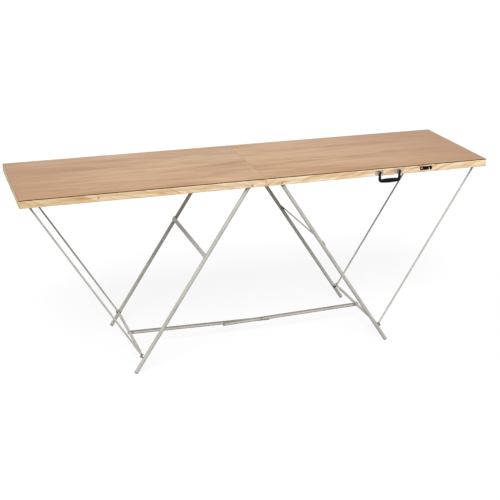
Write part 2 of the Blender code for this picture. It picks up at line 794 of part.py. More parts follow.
def make_handle_grip(frame):
    points, radii = grip_path()
    grip = bent_rod("handle_grip", points, radii, 4, frame, (0, 0, 0), BLACK_PLASTIC)
    for sign in SIDES.values():
        middle = sign * HANDLE_SPACING / 2
        start = (middle - GRIP_EYE_WIDTH / 2, 0, 0)
        stop = (middle + GRIP_EYE_WIDTH / 2, 0, 0)
        join(grip, rod(f"grip_eye_{sign}", start, stop, GRIP_EYE_RADIUS, ROD_SIDES, frame))
        bore = HANDLE_PIN_RADIUS + RUNNING_CLEARANCE
        drill(grip, f"grip_bore_{sign}", start, stop, bore, frame)


def make_latch_plate(frame):
    """A plate that turns on its screw. Its notch, open below, drops over the stud."""
    back = -CLEARANCE
    front = back - LATCH_THICKNESS
    low = (-LATCH_HEEL, front, -LATCH_HEIGHT / 2)
    high = (LATCH_LENGTH - LATCH_HEEL, back, LATCH_HEIGHT / 2)
    plate = box("latch_plate", low, high, frame, BLACK_STEEL)
    screw_hole = LATCH_SCREW_RADIUS + RUNNING_CLEARANCE
    drill(plate, "latch_screw_hole", (0, front, 0), (0, back, 0), screw_hole, frame)
    reach = LATCH_RISE * 2
    notch = box(
        "latch_notch",
        (reach - LATCH_NOTCH_WIDTH / 2, front - CUT_OVERRUN, -LATCH_HEIGHT),
        (reach + LATCH_NOTCH_WIDTH / 2, back + CUT_OVERRUN, LATCH_NOTCH_WIDTH / 2),
        frame,
    )
    cut(plate, notch)


def make_rail_screw(name, head_base, half, place_y, direction, material):
    """A screw with a low round head, set into a rail's front face."""
    profile = [
        (0, head_base + LATCH_HEAD_HEIGHT),
        (LATCH_HEAD_RADIUS - LATCH_HEAD_HEIGHT / 2, head_base + LATCH_HEAD_HEIGHT),
        (LATCH_HEAD_RADIUS, head_base + LATCH_HEAD_HEIGHT / 2),
        (LATCH_HEAD_RADIUS, head_base),
        (LATCH_SCREW_RADIUS, head_base),
        (LATCH_SCREW_RADIUS, -LATCH_SCREW_DEPTH),
        (0, -LATCH_SCREW_DEPTH),
    ]
    place = (LATCH_FROM_SEAM, place_y, LATCH_RISE)
    turned(name, profile, SMALL_SIDES, half, place, direction, material)


def drill_latch_hole(rail, side, half):
    sign = across(side, "front")
    bottom = HALF_WIDTH - LATCH_SCREW_DEPTH - CLEARANCE
    hole = rod(
        f"{side}_latch_hole",
        (LATCH_FROM_SEAM, sign * bottom, LATCH_RISE),
        (LATCH_FROM_SEAM, sign * (HALF_WIDTH + CUT_OVERRUN), LATCH_RISE),
        LATCH_SCREW_RADIUS + CLEARANCE,
        SMALL_SIDES,
        half,
    )
    cut(rail, hole)


def make_half_of_table(side):
    half = make_half(side)
    make_top_sheet(side, half)
    for end in ENDS:
        rail = make_long_rail(side, end, half)
        if end == "front":
            drill_latch_hole(rail, side, half)
        make_leg_bolt(side, end, half)
        make_leg_nut(side, end, half)
        make_stay_bracket(side, end, half)
        make_hinge_leaf(side, end, half)
    make_cross_rail(f"{side}_end_rail", HALF_LENGTH - RAIL_THICKNESS, HALF_LENGTH, half)
    seam_rail = make_cross_rail(
        f"{side}_seam_rail", SEAM_START, SEAM_START + RAIL_THICKNESS, half
    )
    for end in ENDS:
        let_in_hinge(seam_rail, side, end, half)
    leg_frame = make_leg_frame(side, half)
    for end in ENDS:
        make_leg(side, end, leg_frame)
        make_foot_plug(side, end, leg_frame)
        make_rod_hook(side, end, leg_frame)
    make_cross_strip(side, leg_frame)
    stay_frame = make_stay_frame(side, half)
    for end in ENDS:
        make_stay_rod(side, end, stay_frame)
    make_cross_rod(side, stay_frame)
    make_sleeve(side, stay_frame)
    spreader_frame = make_spreader_frame(side, stay_frame)
    make_spreader_bar(side, spreader_frame)
    return half, spreader_frame


left_half, left_spreader = make_half_of_table("left")
right_half, right_spreader = make_half_of_table("right")
for end_name in ENDS:
    make_hinge_pin(end_name, left_half)
make_spreader_rivet(right_spreader)

for place_name, shift in (("inner", -HANDLE_SPACING / 2), ("outer", HANDLE_SPACING / 2)):
    make_handle_mount(f"{place_name}_handle_mount", HANDLE_FROM_SEAM + shift, right_half)
handle_place = (HANDLE_FROM_SEAM, -HALF_WIDTH - HANDLE_AXIS_OUT, HANDLE_RISE)
make_handle_grip(empty("handle_axis", right_half, handle_place))

latch_place = (LATCH_FROM_SEAM, -HALF_WIDTH, LATCH_RISE)
make_latch_plate(empty("latch_axis", right_half, latch_place))
latch_face = LATCH_THICKNESS + CLEARANCE * 2
make_rail_screw("latch_screw", latch_face, right_half, -HALF_WIDTH, (0, -1, 0), BRIGHT_STEEL)
make_rail_screw("latch_stud", latch_face, left_half, HALF_WIDTH, (0, 1, 0), BRASS)

bpy.context.view_layer.update()
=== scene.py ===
"""The finish of a folding wallpaper pasting table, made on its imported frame."""

import json
import math

import bmesh
import bpy
from mathutils import Matrix, Vector


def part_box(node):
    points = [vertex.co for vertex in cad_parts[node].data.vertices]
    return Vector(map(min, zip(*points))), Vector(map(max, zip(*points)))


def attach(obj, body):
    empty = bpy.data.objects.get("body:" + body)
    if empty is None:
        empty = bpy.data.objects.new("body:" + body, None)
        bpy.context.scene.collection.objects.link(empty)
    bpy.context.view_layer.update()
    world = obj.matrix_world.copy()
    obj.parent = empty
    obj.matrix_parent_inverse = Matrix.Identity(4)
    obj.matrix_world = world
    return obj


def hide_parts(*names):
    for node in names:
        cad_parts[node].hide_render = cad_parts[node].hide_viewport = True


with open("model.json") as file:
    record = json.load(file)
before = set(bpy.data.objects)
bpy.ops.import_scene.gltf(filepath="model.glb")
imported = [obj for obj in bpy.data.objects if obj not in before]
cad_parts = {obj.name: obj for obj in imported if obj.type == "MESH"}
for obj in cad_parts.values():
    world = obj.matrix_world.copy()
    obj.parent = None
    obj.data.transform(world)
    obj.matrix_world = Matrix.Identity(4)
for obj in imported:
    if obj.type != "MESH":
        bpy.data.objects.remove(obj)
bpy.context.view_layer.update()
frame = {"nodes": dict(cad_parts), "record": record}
NODES = frame["nodes"]
BEHAVIOUR = frame["record"]["behaviour"]
JOINTS = {joint["name"]: joint for joint in BEHAVIOUR["joints"]}
RATIOS = {pair["joint"]: pair["ratio"] for pair in BEHAVIOUR["couplings"]}
BODY_OF = {node: body for body, nodes in BEHAVIOUR["bodies"].items() for node in nodes}

MM = 0.001
SIDES = {"left": -1, "right": 1}
ENDS = {"front": -1, "rear": 1}
QUARTER = math.radians(90)

# Sizes read from the frame
MIDDLE_Y = JOINTS["middle_fold"]["pos_m"][1]
FRAME_BOTTOM = JOINTS["middle_fold"]["pos_m"][2]
SHEET_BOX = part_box("right_top_sheet")
RAIL_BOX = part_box("right_front_rail")
LEG_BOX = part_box("right_front_leg")
ROD_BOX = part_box("right_stay_cross_rod")
SLEEVE_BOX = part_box("right_cross_rod_sleeve")
GRIP_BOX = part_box("handle_grip")
HALF_LENGTH = SHEET_BOX[1][0]
HALF_WIDTH = SHEET_BOX[1][1] - MIDDLE_Y
TABLE_TOP = SHEET_BOX[1][2]
RAIL_HEIGHT = RAIL_BOX[1][2] - RAIL_BOX[0][2]
LEG_RADIUS = (LEG_BOX[1][1] - LEG_BOX[0][1]) / 2
LEG_PLACE = MIDDLE_Y - (LEG_BOX[1][1] + LEG_BOX[0][1]) / 2
ROD_RADIUS = (ROD_BOX[1][2] - ROD_BOX[0][2]) / 2
ROD_REACH = ROD_BOX[1][1] - MIDDLE_Y
SLEEVE_RADIUS = (SLEEVE_BOX[1][2] - SLEEVE_BOX[0][2]) / 2
SLEEVE_REACH = SLEEVE_BOX[1][1] - MIDDLE_Y
LEG_SLOPE = math.radians(JOINTS["right_leg_fold"]["range_deg"][1])
STAY_SLOPE = LEG_SLOPE * RATIOS["right_stay_fold"]
SPREADER_TURN = LEG_SLOPE * RATIOS["right_spreader_fold"]
SPREADER_SLOPE = math.pi + STAY_SLOPE - SPREADER_TURN
STAY_LENGTH = (
    Vector(JOINTS["right_stay_fold"]["pos_m"]) - Vector(JOINTS["right_spreader_fold"]["pos_m"])
).length

# Sizes of what is finer than the frame
GAP = 0.3 * MM
LEG_WALL = 1.0 * MM
LEG_TOP_OVERHANG = 10.0 * MM
LEG_RIM = 0.35 * MM
CAP_THICKNESS = 3.0 * MM
CAP_RIM = 0.7 * MM
STEM_LENGTH = 15.0 * MM
ROD_RIM = 0.6 * MM
SLEEVE_RIM = 0.25 * MM
STAY_BEND = 5.0 * MM
SHEET_EDGE = 0.15 * MM
RAIL_EDGE = 0.6 * MM
BAR_EDGE = 0.5 * MM
PLATE_EDGE = 0.3 * MM
LEAF_EDGE = 0.15 * MM
HEAD_EDGE = 0.25 * MM
GROOVE_RADIUS = 8.0 * MM
GROOVE_DEPTH = 1.0 * MM
GROOVE_MARGIN = 17.0 * MM
BAR_THICKNESS = 3.0 * MM
BAR_SIDE_GAP = 0.2 * MM
BRACKET_THICKNESS = 1.6 * MM
MOUNT_THICKNESS = 1.6 * MM

# The carrying handle's grip
GRIP_EYE_WIDTH = 9.2 * MM
GRIP_EYE_RADIUS = 5.2 * MM
GRIP_PIN_BORE = 1.9 * MM
GRIP_ARM_RADIUS = 4.6 * MM
GRIP_BEND_RADIUS = 6.2 * MM
GRIP_RADIUS = (GRIP_BOX[1][1] - GRIP_BOX[0][1]) / 2
GRIP_DROP = 37.0 * MM
GRIP_CORNER = 10.0 * MM
GRIP_RIM = 0.8 * MM
GRIP_BAR_STEPS = 10

# Nails, pins, screws and welds
NAIL_RADIUS = 1.7 * MM
NAIL_DOME = 0.35 * MM
NAIL_FROM_END = 6.0 * MM
NAIL_SPREAD_SHARE = 0.24
PIN_RADIUS = 1.1 * MM
PIN_DOME = 0.05 * MM
PIN_SPACING = 145 * MM
PIN_FROM_EDGE = 6.0 * MM
PIN_FROM_CORNER = 30 * MM
SCREW_RADIUS = 2.0 * MM
SCREW_DOME = 0.9 * MM
RECESS_SHARE = 1.25
RECESS_WIDTH_SHARE = 0.28
LEAF_SCREW_SPREAD = 17.0 * MM
LEAF_SCREW_OUT = 6.9 * MM
LEAF_SCREW_RADIUS = 1.6 * MM
LEAF_SCREW_DOME = 0.5 * MM
BRACKET_SCREW_INSET = 4.6 * MM
MOUNT_SCREW_INSET_SHARE = 0.85
BEAD_RADIUS = 1.5 * MM
BEAD_STEPS = 12
STRIP_WELD_SHARE = 0.5
HOOK_WELD_SHARE = 0.92
BEAD_SIZE_SHARES = (0.75, 1.15)

# Smoothness of round pieces
SMOOTH_ANGLE = math.radians(34)
FLAT_ANGLE = math.radians(1)
TUBE_SIDES = 40
ROD_SIDES = 28
GRIP_SIDES = 32
BEND_STEPS = 10
RIM_STEPS = 4
EDGE_STEPS = 2
EDGE_ROUNDNESS = 0.5
MERGE_DISTANCE = 0.001 * MM

# A plain ball, segments and rings of the heads made of it, and how fine a weld's lumps are
BALL_RADIUS = 1
NAIL_FINENESS = (14, 8)
PIN_FINENESS = (10, 6)
SCREW_FINENESS = (20, 10)
BEAD_FINENESS = 2

# Seeds of what is turned or sized by chance
DOME_SEED = 3
SCREW_SEED = 7
BEAD_TURN_SEEDS = (5, 9)
BEAD_SIZE_SEED = 11

# The camera, a slightly shifted lens looking down on the table from its left front
CAMERA_PLACE = (-1.4442, -4.5316, 2.1075)
CAMERA_AZIMUTH = -17.843
CAMERA_ELEVATION = 17.284
CAMERA_SHIFT = -0.10
FOCAL_PIXELS = 1150.7
PICTURE_PIXELS = 500
SENSOR_MM = 36
FAR_CLIP = 200

# The floor and the light
FLOOR_REACH = 60
FLOOR_COLOUR = (0.28, 0.28, 0.28)
SHADOW_COLOUR = (0.25, 0.25, 0.26)
FLOOR_GLOW = 0.77
WORLD_LIGHT = 0.52
KEY_DIRECTION = (0.4, 1.0, -1.0)
KEY_STRENGTH = 2.2
KEY_SOFTNESS = math.radians(35)
FILL_DIRECTION = (-0.7, 0.5, -0.8)
FILL_STRENGTH = 0.35
FILL_SOFTNESS = math.radians(60)

# How a screen's levels stand to light
SCREEN_LEVELS = 255
SCREEN_KNEE = 0.04045
SCREEN_SLOPE = 12.92
SCREEN_LIFT = 0.055
SCREEN_POWER = 2.4


def linear(red, green, blue):
    """A colour as a screen shows it, from 0 to 255, in the shader's own scale."""
    channels = []
    for level in (red, green, blue):
        share = level / SCREEN_LEVELS
        if share <= SCREEN_KNEE:
            channels.append(share / SCREEN_SLOPE)
        else:
            channels.append(((share + SCREEN_LIFT) / (1 + SCREEN_LIFT)) ** SCREEN_POWER)
    return tuple(channels)


# Colours
PLY_DARK = linear(172, 132, 98)
PLY_MIDDLE = linear(194, 157, 123)
PLY_PALE = linear(207, 173, 139)
PLY_WARM = linear(173, 132, 100)
PLY_EDGE_DARK = linear(38, 22, 14)
PLY_EDGE_PALE = linear(98, 66, 45)
PINE_RING = linear(221, 179, 133)
PINE_WARM = linear(237, 206, 164)
PINE_MIDDLE = linear(246, 221, 184)
PINE_PALE = linear(254, 239, 211)
PAINT_DULL = linear(178, 174, 163)
PAINT_MIDDLE = linear(192, 189, 179)
PAINT_PALE = linear(202, 200, 192)
PAINT_RUBBED = linear(168, 162, 150)
BRIGHT_METAL = linear(206, 203, 197)
ZINC_METAL = linear(176, 174, 168)
BOLT_METAL = linear(160, 150, 132)
BRACKET_METAL = linear(160, 134, 104)
STUD_METAL = linear(196, 152, 108)
# The hooks are coloured dark as painted shade, for the shadow where the stays meet the legs
HOOK_PAINTED_SHADE = linear(88, 83, 76)
DARK_STEEL = linear(66, 62, 56)
# Spreader bars: the paler paint in the groove is painted light, and the darker paint on the rest is
# painted shade
GROOVE_LIGHT_DULL = linear(186, 180, 169)
GROOVE_LIGHT_PALE = linear(198, 193, 183)
BAR_SHADE_DULL = linear(140, 134, 125)
BAR_SHADE_PALE = linear(154, 149, 139)
BLACK_COAT = linear(6, 6, 6)
GRIP_BLACK = linear(5, 5, 6)
PLUG_GREY = linear(112, 108, 101)
NAIL_STEEL = linear(190, 160, 120)
PIN_STEEL = linear(176, 146, 118)
WELD_METAL = linear(172, 167, 156)

# How each half's pine is tinted at the table's end, and from where to where the tint grows
PINE_TONES = {"left": (0.84, 0.77, 0.64), "right": (1.0, 0.99, 0.96)}
PINE_TINT_SPAN = (0.1, 1.0)

# How each rail's rings slant, in degrees, and where in the pattern it starts
RAIL_WOOD = {
    "left_front": (-17, (0, 0, 0)),
    "left_rear": (9, (5.1, 1.7, 0)),
    "left_end": (8, (0, 0, 0.6)),
    "left_seam": (8, (3.3, 0, 0.6)),
    "right_front": (14, (2.3, 0, 0.9)),
    "right_rear": (-12, (7.4, 1.7, 0.9)),
    "right_end": (8, (1, 4.4, 0.6)),
    "right_seam": (8, (4.3, 4.4, 0.6)),
}

# Where each sheet starts in its pattern, and from where to where it turns warmer
PLY_SHIFTS = {"left": (3.1, 0.4, 0.0), "right": (7.7, 1.9, 0.0)}
PLY_WARM_SPANS = {"left": (-0.55, -1.15), "right": (0.35, 1.0)}
PLY_WARM_SHARE = 0.85

# How far from the seam a sheet's cut edge begins to show its dark plies, and shows them in full
SEAM_SPAN = (3.0 * MM, 5.0 * MM)

# Patterns: repeats along each axis, scale, detail, roughness and distortion
EVEN = (1, 1, 1)
PLY_BROAD = ((1.0, 7, 7), 1.6, 4, 0.55, 0.5)
PLY_FLAME = ((3.2, 34, 34), 1.0, 5, 0.62, 0.9)
PLY_STREAK = ((7, 120, 120), 1.0, 5, 0.65, 0.3)
PLY_PORES = ((60, 900, 900), 1.0, 2, 0.5, 0.0)
PLY_PLIES = ((3.5, 3.5, 620), 1.0, 3, 0.5, 0.0)
PINE_WAVE = ((5, 5, 5), 1.0, 2, 0.5, 0.0)
PINE_RINGS = ((7, 30, 75), 1.0, 3, 0.5, 0.35)
PINE_FIBRE = ((26, 900, 1500), 1.0, 4, 0.6, 0.0)
PAINT_CLOUD = (EVEN, 14, 4, 0.6, 0.0)
PAINT_RUB = (EVEN, 60, 5, 0.7, 0.0)
PAINT_SPECK = (EVEN, 900, 2, 0.5, 0.0)
PLATE_LINES = ((30, 900, 900), 1.0, 3, 0.6, 0.0)
PLATE_SCALE = 220
PLATE_PATCH_FIGURES = (4, 0.6, 0.0)
COAT_CLOUD = (EVEN, 140, 4, 0.6, 0.0)
COAT_GRAIN = (EVEN, 2600, 2, 0.5, 0.0)

# Levels: from where to where a pattern counts, and what these two become
MOST_NOISE = (0.3, 0.7)
PLY_LINE_LEVELS = (0.32, 0.70, 0.90, 1.07)
PLY_PORE_LEVELS = (0.30, 0.42, 0.90, 1.0)
PLY_SIDE_LEVELS = (0.80, 0.35, 0.0, 1.0)
PINE_BEND_LEVELS = (*MOST_NOISE, -0.9, 0.9)
PINE_FIBRE_LEVELS = (*MOST_NOISE, 0.93, 1.04)
PAINT_RUB_LEVELS = (0.62, 0.78, 0.0, 0.25)
PAINT_ROUGH_LEVELS = (*MOST_NOISE, 0.36, 0.50)
PLATE_ROUGH_RANGE = (0.07, 0.10)
COAT_ROUGH_RANGE = (0.05, 0.07)

# Where in a pattern each colour lies
PLY_STOPS = ((0.36, PLY_DARK), (0.50, PLY_MIDDLE), (0.63, PLY_PALE))
PLY_EDGE_STOPS = ((0.44, PLY_EDGE_DARK), (0.68, PLY_EDGE_PALE))
PINE_STOPS = ((0.32, PINE_RING), (0.43, PINE_WARM), (0.54, PINE_MIDDLE), (0.68, PINE_PALE))
PAINT_PLACES = (0.30, 0.52, 0.74)
PLATE_PLACES = (0.32, 0.62)
COAT_PLACES = (0.40, 0.75)

# Surfaces: shares of shine and roughness, and the strength and depth of their grain
PLY_BROAD_SHARE = 0.45
PLY_ROUGHNESS = 0.52
PINE_ROUGHNESS = 0.58
WOOD_SHINE = 0.25
WOOD_GRAIN = 0.12
WOOD_BUMP = 0.4 * MM
PAINT_GRAIN = 0.10
PAINT_BUMP = 0.2 * MM
PLATE_DULL_SHARE = 0.72
PLATE_GRAIN = 0.06
FINE_BUMP = 0.1 * MM


def half_matrix(side):
    """A half's own frame: +X away from the seam, Z = 0 at the rails' lower face."""
    turn = math.pi if side == "left" else 0
    return Matrix.Translation((0, MIDDLE_Y, FRAME_BOTTOM)) @ Matrix.Rotation(turn, 4, "Z")


def joint_matrix(side, joint, slope):
    """A swinging frame's own axes at a joint, sloped below the top."""
    half = half_matrix(side)
    place = half.inverted() @ Vector(JOINTS[joint]["pos_m"])
    place.y = 0
    return half @ Matrix.Translation(place) @ Matrix.Rotation(slope, 4, "Y")


def leg_matrix(side):
    return joint_matrix(side, f"{side}_leg_fold", LEG_SLOPE)


def stay_matrix(side):
    return joint_matrix(side, f"{side}_stay_fold", math.pi - STAY_SLOPE)


def spreader_matrix(side):
    return joint_matrix(side, f"{side}_spreader_fold", math.pi - SPREADER_SLOPE)


def across(side, end):
    return SIDES[side] * ENDS[end]


# Node trees and materials

class Nodes:
    """A node tree, with short calls to add and join nodes."""

    def __init__(self, tree):
        self.tree = tree

    def add(self, kind, settings=None, **inputs):
        made = self.tree.nodes.new(kind)
        for key, value in (settings or {}).items():
            setattr(made, key, value)
        for key, value in inputs.items():
            self.feed(made, key.replace("_", " "), value)
        return made

    def feed(self, made, key, value):
        """Joins or sets an input, found by its name or, as i0, i1 and so on, by its number."""
        numbered = key[:1] == "i" and key[1:].isdigit()
        socket = made.inputs[int(key[1:])] if numbered else made.inputs[key]
        if isinstance(value, bpy.types.NodeSocket):
            self.tree.links.new(value, socket)
        elif isinstance(value, tuple) and len(value) < len(socket.default_value):
            socket.default_value = (*value, 1)
        else:
            socket.default_value = value

    def reckon(self, how, first, second=0):
        return self.add("ShaderNodeMath", {"operation": how}, i0=first, i1=second).outputs[0]

    def spread(self, value, low, high, new_low, new_high):
        made = self.add("ShaderNodeMapRange", Value=value, From_Min=low, From_Max=high)
        self.feed(made, "To Min", new_low)
        self.feed(made, "To Max", new_high)
        return made.outputs["Result"]


class Recipe(Nodes):
    """A material's node tree, built round its one shader."""

    def __init__(self, name):
        self.material = bpy.data.materials.new(name)
        self.material.use_nodes = True
        super().__init__(self.material.node_tree)
        self.shader = self.tree.nodes["Principled BSDF"]

    def set(self, **inputs):
        for key, value in inputs.items():
            self.feed(self.shader, key.replace("_", " "), value)

    def place(self, shift=(0, 0, 0), turn=(0, 0, 0), scale=EVEN):
        """The object's own coordinates, turned first and then scaled and shifted."""
        source = self.add("ShaderNodeTexCoord").outputs["Object"]
        turned = self.add("ShaderNodeMapping", Vector=source, Rotation=turn).outputs["Vector"]
        mapped = self.add("ShaderNodeMapping", Vector=turned, Location=shift, Scale=scale)
        return mapped.outputs["Vector"]

    def along_table(self):
        return self.add("ShaderNodeSeparateXYZ", Vector=self.place()).outputs["X"]

    def noise(self, vector, scale, detail, roughness, distortion):
        made = self.add("ShaderNodeTexNoise", Vector=vector, Scale=scale, Detail=detail)
        self.feed(made, "Roughness", roughness)
        self.feed(made, "Distortion", distortion)
        return made.outputs["Fac"]

    def pattern(self, figures, shift=(0, 0, 0), turn=(0, 0, 0)):
        """Noise on the object's own coordinates, by one row of the patterns."""
        repeats, *rest = figures
        return self.noise(self.place(shift, turn, repeats), *rest)

    def ramp(self, value, stops):
        made = self.add("ShaderNodeValToRGB", Fac=value)
        bar = made.color_ramp
        while len(bar.elements) < len(stops):
            bar.elements.new(1.0)
        for element, (place, colour) in zip(bar.elements, stops):
            element.position = place
            element.color = (*colour, 1)
        return made.outputs["Color"]

    def blend(self, share, first, second, how="MIX"):
        settings = {"data_type": "RGBA", "blend_type": how}
        return self.add("ShaderNodeMix", settings, i0=share, i6=first, i7=second).outputs[2]

    def shaded(self, colour, value):
        """A colour made darker or lighter by a value of about 1."""
        grey = self.add("ShaderNodeCombineColor", i0=value, i1=value, i2=value).outputs[0]
        return self.blend(1, colour, grey, "MULTIPLY")

    def around(self, value, middle, below, above):
        """A level that goes a little below and above its middle with a pattern."""
        return self.spread(value, *MOST_NOISE, middle - below, middle + above)

    def bump(self, height, strength, distance):
        made = self.add("ShaderNodeBump", Height=height, Strength=strength, Distance=distance)
        self.feed(self.shader, "Normal", made.outputs["Normal"])


def plywood(side):
    """Thin plywood: grain along the table, warmer at its end, with dark plies on its edge."""
    made = Recipe(f"plywood_{side}")
    shift = PLY_SHIFTS[side]
    broad = made.reckon("MULTIPLY", made.pattern(PLY_BROAD, shift), PLY_BROAD_SHARE)
    flame = made.reckon("MULTIPLY", made.pattern(PLY_FLAME, shift), 1 - PLY_BROAD_SHARE)
    colour = made.ramp(made.reckon("ADD", broad, flame), PLY_STOPS)
    along = made.along_table()
    far = made.spread(along, *PLY_WARM_SPANS[side], 0, PLY_WARM_SHARE)
    colour = made.blend(far, colour, PLY_WARM)
    lines = made.spread(made.pattern(PLY_STREAK, shift), *PLY_LINE_LEVELS)
    pores = made.spread(made.pattern(PLY_PORES, shift), *PLY_PORE_LEVELS)
    detail = made.reckon("MULTIPLY", lines, pores)
    normal = made.add("ShaderNodeNewGeometry").outputs["True Normal"]
    upright = made.add("ShaderNodeSeparateXYZ", Vector=normal).outputs["Z"]
    side_share = made.spread(made.reckon("ABSOLUTE", upright), *PLY_SIDE_LEVELS)
    seam_share = made.spread(made.reckon("ABSOLUTE", along), *SEAM_SPAN, 0, 1)
    edge_share = made.reckon("MULTIPLY", side_share, seam_share)
    edge = made.ramp(made.pattern(PLY_PLIES), PLY_EDGE_STOPS)
    face = made.shaded(colour, detail)
    made.set(Base_Color=made.blend(edge_share, face, edge), Roughness=PLY_ROUGHNESS)
    made.set(Specular_IOR_Level=WOOD_SHINE)
    made.bump(detail, WOOD_GRAIN, WOOD_BUMP)
    return made.material


def pine(name, shift, turn, tone):
    """Planed pine: its rings show as slanting bands, and it is tinted towards the table's end."""
    made = Recipe(name)
    wave = made.spread(made.pattern(PINE_WAVE, shift), *PINE_BEND_LEVELS)
    bend = made.add("ShaderNodeCombineXYZ", i2=wave).outputs[0]
    repeats, *rest = PINE_RINGS
    place = made.place(shift, turn, repeats)
    bent = made.add("ShaderNodeVectorMath", {"operation": "ADD"}, i0=place, i1=bend).outputs[0]
    colour = made.ramp(made.noise(bent, *rest), PINE_STOPS)
    from_seam = made.reckon("ABSOLUTE", made.along_table())
    far = made.spread(from_seam, *PINE_TINT_SPAN, 0, 1)
    colour = made.blend(far, colour, tone, "MULTIPLY")
    fibre = made.spread(made.pattern(PINE_FIBRE, shift, turn), *PINE_FIBRE_LEVELS)
    made.set(Base_Color=made.shaded(colour, fibre), Roughness=PINE_ROUGHNESS)
    made.set(Specular_IOR_Level=WOOD_SHINE)
    made.bump(fibre, WOOD_GRAIN, WOOD_BUMP)
    return made.material


def satin_paint(name, dull, middle, pale):
    """Warm grey coating on steel, a little uneven and rubbed in places."""
    made = Recipe(name)
    cloud = made.pattern(PAINT_CLOUD)
    colour = made.ramp(cloud, tuple(zip(PAINT_PLACES, (dull, middle, pale))))
    rubbed = made.spread(made.pattern(PAINT_RUB), *PAINT_RUB_LEVELS)
    made.set(Base_Color=made.blend(rubbed, colour, PAINT_RUBBED))
    made.set(Roughness=made.spread(cloud, *PAINT_ROUGH_LEVELS))
    made.bump(made.pattern(PAINT_SPECK), PAINT_GRAIN, PAINT_BUMP)
    return made.material


def plated_steel(name, colour, roughness, scale=PLATE_SCALE, dull_share=PLATE_DULL_SHARE):
    """Plated or bare steel with a fine brushed grain and a few dull patches."""
    made = Recipe(name)
    patches = made.noise(made.place(), scale, *PLATE_PATCH_FIGURES)
    lines = made.pattern(PLATE_LINES)
    dull = tuple(channel * dull_share for channel in colour)
    made.set(Base_Color=made.ramp(patches, tuple(zip(PLATE_PLACES, (dull, colour)))), Metallic=1)
    made.set(Roughness=made.around(lines, roughness, *PLATE_ROUGH_RANGE))
    made.bump(lines, PLATE_GRAIN, FINE_BUMP)
    return made.material


def coated(name, colour, roughness, lift, grain, shine):
    """Dark coated steel or moulded plastic, a little cloudy and finely grained."""
    made = Recipe(name)
    cloud = made.pattern(COAT_CLOUD)
    lighter = tuple(channel * lift for channel in colour)
    made.set(Base_Color=made.ramp(cloud, tuple(zip(COAT_PLACES, (colour, lighter)))))
    made.set(Roughness=made.around(cloud, roughness, *COAT_ROUGH_RANGE), Specular_IOR_Level=shine)
    made.bump(made.pattern(COAT_GRAIN), grain, FINE_BUMP)
    return made.material


PAINT = satin_paint("warm_grey_paint", PAINT_DULL, PAINT_MIDDLE, PAINT_PALE)
# Two copies of the grey paint for the spreader bars: painted shade on the bar, painted light in its
# groove
BAR_SHADED_PAINT = satin_paint("bar_grey_paint", BAR_SHADE_DULL, BAR_SHADE_PALE, BAR_SHADE_PALE)
GROOVE_LIT_PAINT = satin_paint("groove_grey_paint", GROOVE_LIGHT_DULL, GROOVE_LIGHT_PALE, GROOVE_LIGHT_PALE)
BRIGHT = plated_steel("bright_plate", BRIGHT_METAL, roughness=0.26)
ZINC = plated_steel("zinc_plate", ZINC_METAL, roughness=0.34)
BOLT = plated_steel("dull_bolt_plate", BOLT_METAL, roughness=0.40)
BRACKET = plated_steel("bracket_plate", BRACKET_METAL, roughness=0.36)
STUD = plated_steel("stud_brass", STUD_METAL, roughness=0.33)
# The mounts' plate turns near black in random patches, a painted shade for the dark shading round the
# mounts
MOUNT = plated_steel("worn_bright_plate", BRIGHT_METAL, roughness=0.22, scale=240, dull_share=0.16)
NAIL = plated_steel("nail_steel", NAIL_STEEL, roughness=0.45)
PIN = plated_steel("pin_steel", PIN_STEEL, roughness=0.50)
WELD = plated_steel("painted_weld", WELD_METAL, roughness=0.52, scale=500)
DARK = coated("dark_steel", DARK_STEEL, roughness=0.42, lift=1.9, grain=0.10, shine=0.35)
# The hooks' dark coat is a painted shade at the stays' feet
HOOK = coated("hook_steel", HOOK_PAINTED_SHADE, roughness=0.45, lift=1.5, grain=0.10, shine=0.35)
BLACK = coated("black_coat", BLACK_COAT, roughness=0.46, lift=1.5, grain=0.10, shine=0.08)
GRIP = coated("grip_plastic", GRIP_BLACK, roughness=0.26, lift=1.4, grain=0.05, shine=0.12)
PLUG = coated("plug_plastic", PLUG_GREY, roughness=0.55, lift=1.4, grain=0.12, shine=0.35)


# Mesh work

def new_piece(name, mesh, node_or_body, material, replaced=True):
    """Adds a finished piece that rides on a body and may stand for a node of the frame."""
    piece = bpy.data.objects.new(name, mesh)
    bpy.context.scene.collection.objects.link(piece)
    if material is not None:
        mesh.materials.clear()
        mesh.materials.append(material)
    body = BODY_OF.get(node_or_body, node_or_body)
    if replaced:
        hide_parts(node_or_body)
    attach(piece, body)


def shade(mesh):
    mesh.shade_smooth()
    mesh.set_sharp_from_angle(angle=SMOOTH_ANGLE)


def mesh_of(shape, matrix=None):
    """A mesh from a bmesh, put in place, with outward faces and soft shading."""
    bmesh.ops.remove_doubles(shape, verts=shape.verts, dist=MERGE_DISTANCE)
    bmesh.ops.dissolve_degenerate(shape, edges=shape.edges, dist=MERGE_DISTANCE)
    bmesh.ops.recalc_face_normals(shape, faces=shape.faces)
    mesh = bpy.data.meshes.new("shape")
    shape.to_mesh(mesh)
    shape.free()
    if matrix is not None:
        mesh.transform(matrix)
    shade(mesh)
    return mesh


def sweep(points, radii, sides, side):
    """A closed round bar along points in a plane, whose normal is side."""
    shape = bmesh.new()
    rings = []
    for i, point in enumerate(points):
        before = points[max(i - 1, 0)]
        after = points[min(i + 1, len(points) - 1)]
        up = (after - before).normalized().cross(side).normalized()
        ring = []
        for step in range(sides):
            angle = math.tau * step / sides
            offset = side * math.cos(angle) + up * math.sin(angle)
            ring.append(shape.verts.new(point + offset * radii[i]))
        rings.append(ring)
    for first, second in zip(rings, rings[1:]):
        for step in range(sides):
            following = (step + 1) % sides
            shape.faces.new((first[step], first[following], second[following], second[step]))
    shape.faces.new(rings[0])
    shape.faces.new(rings[-1])
    return shape


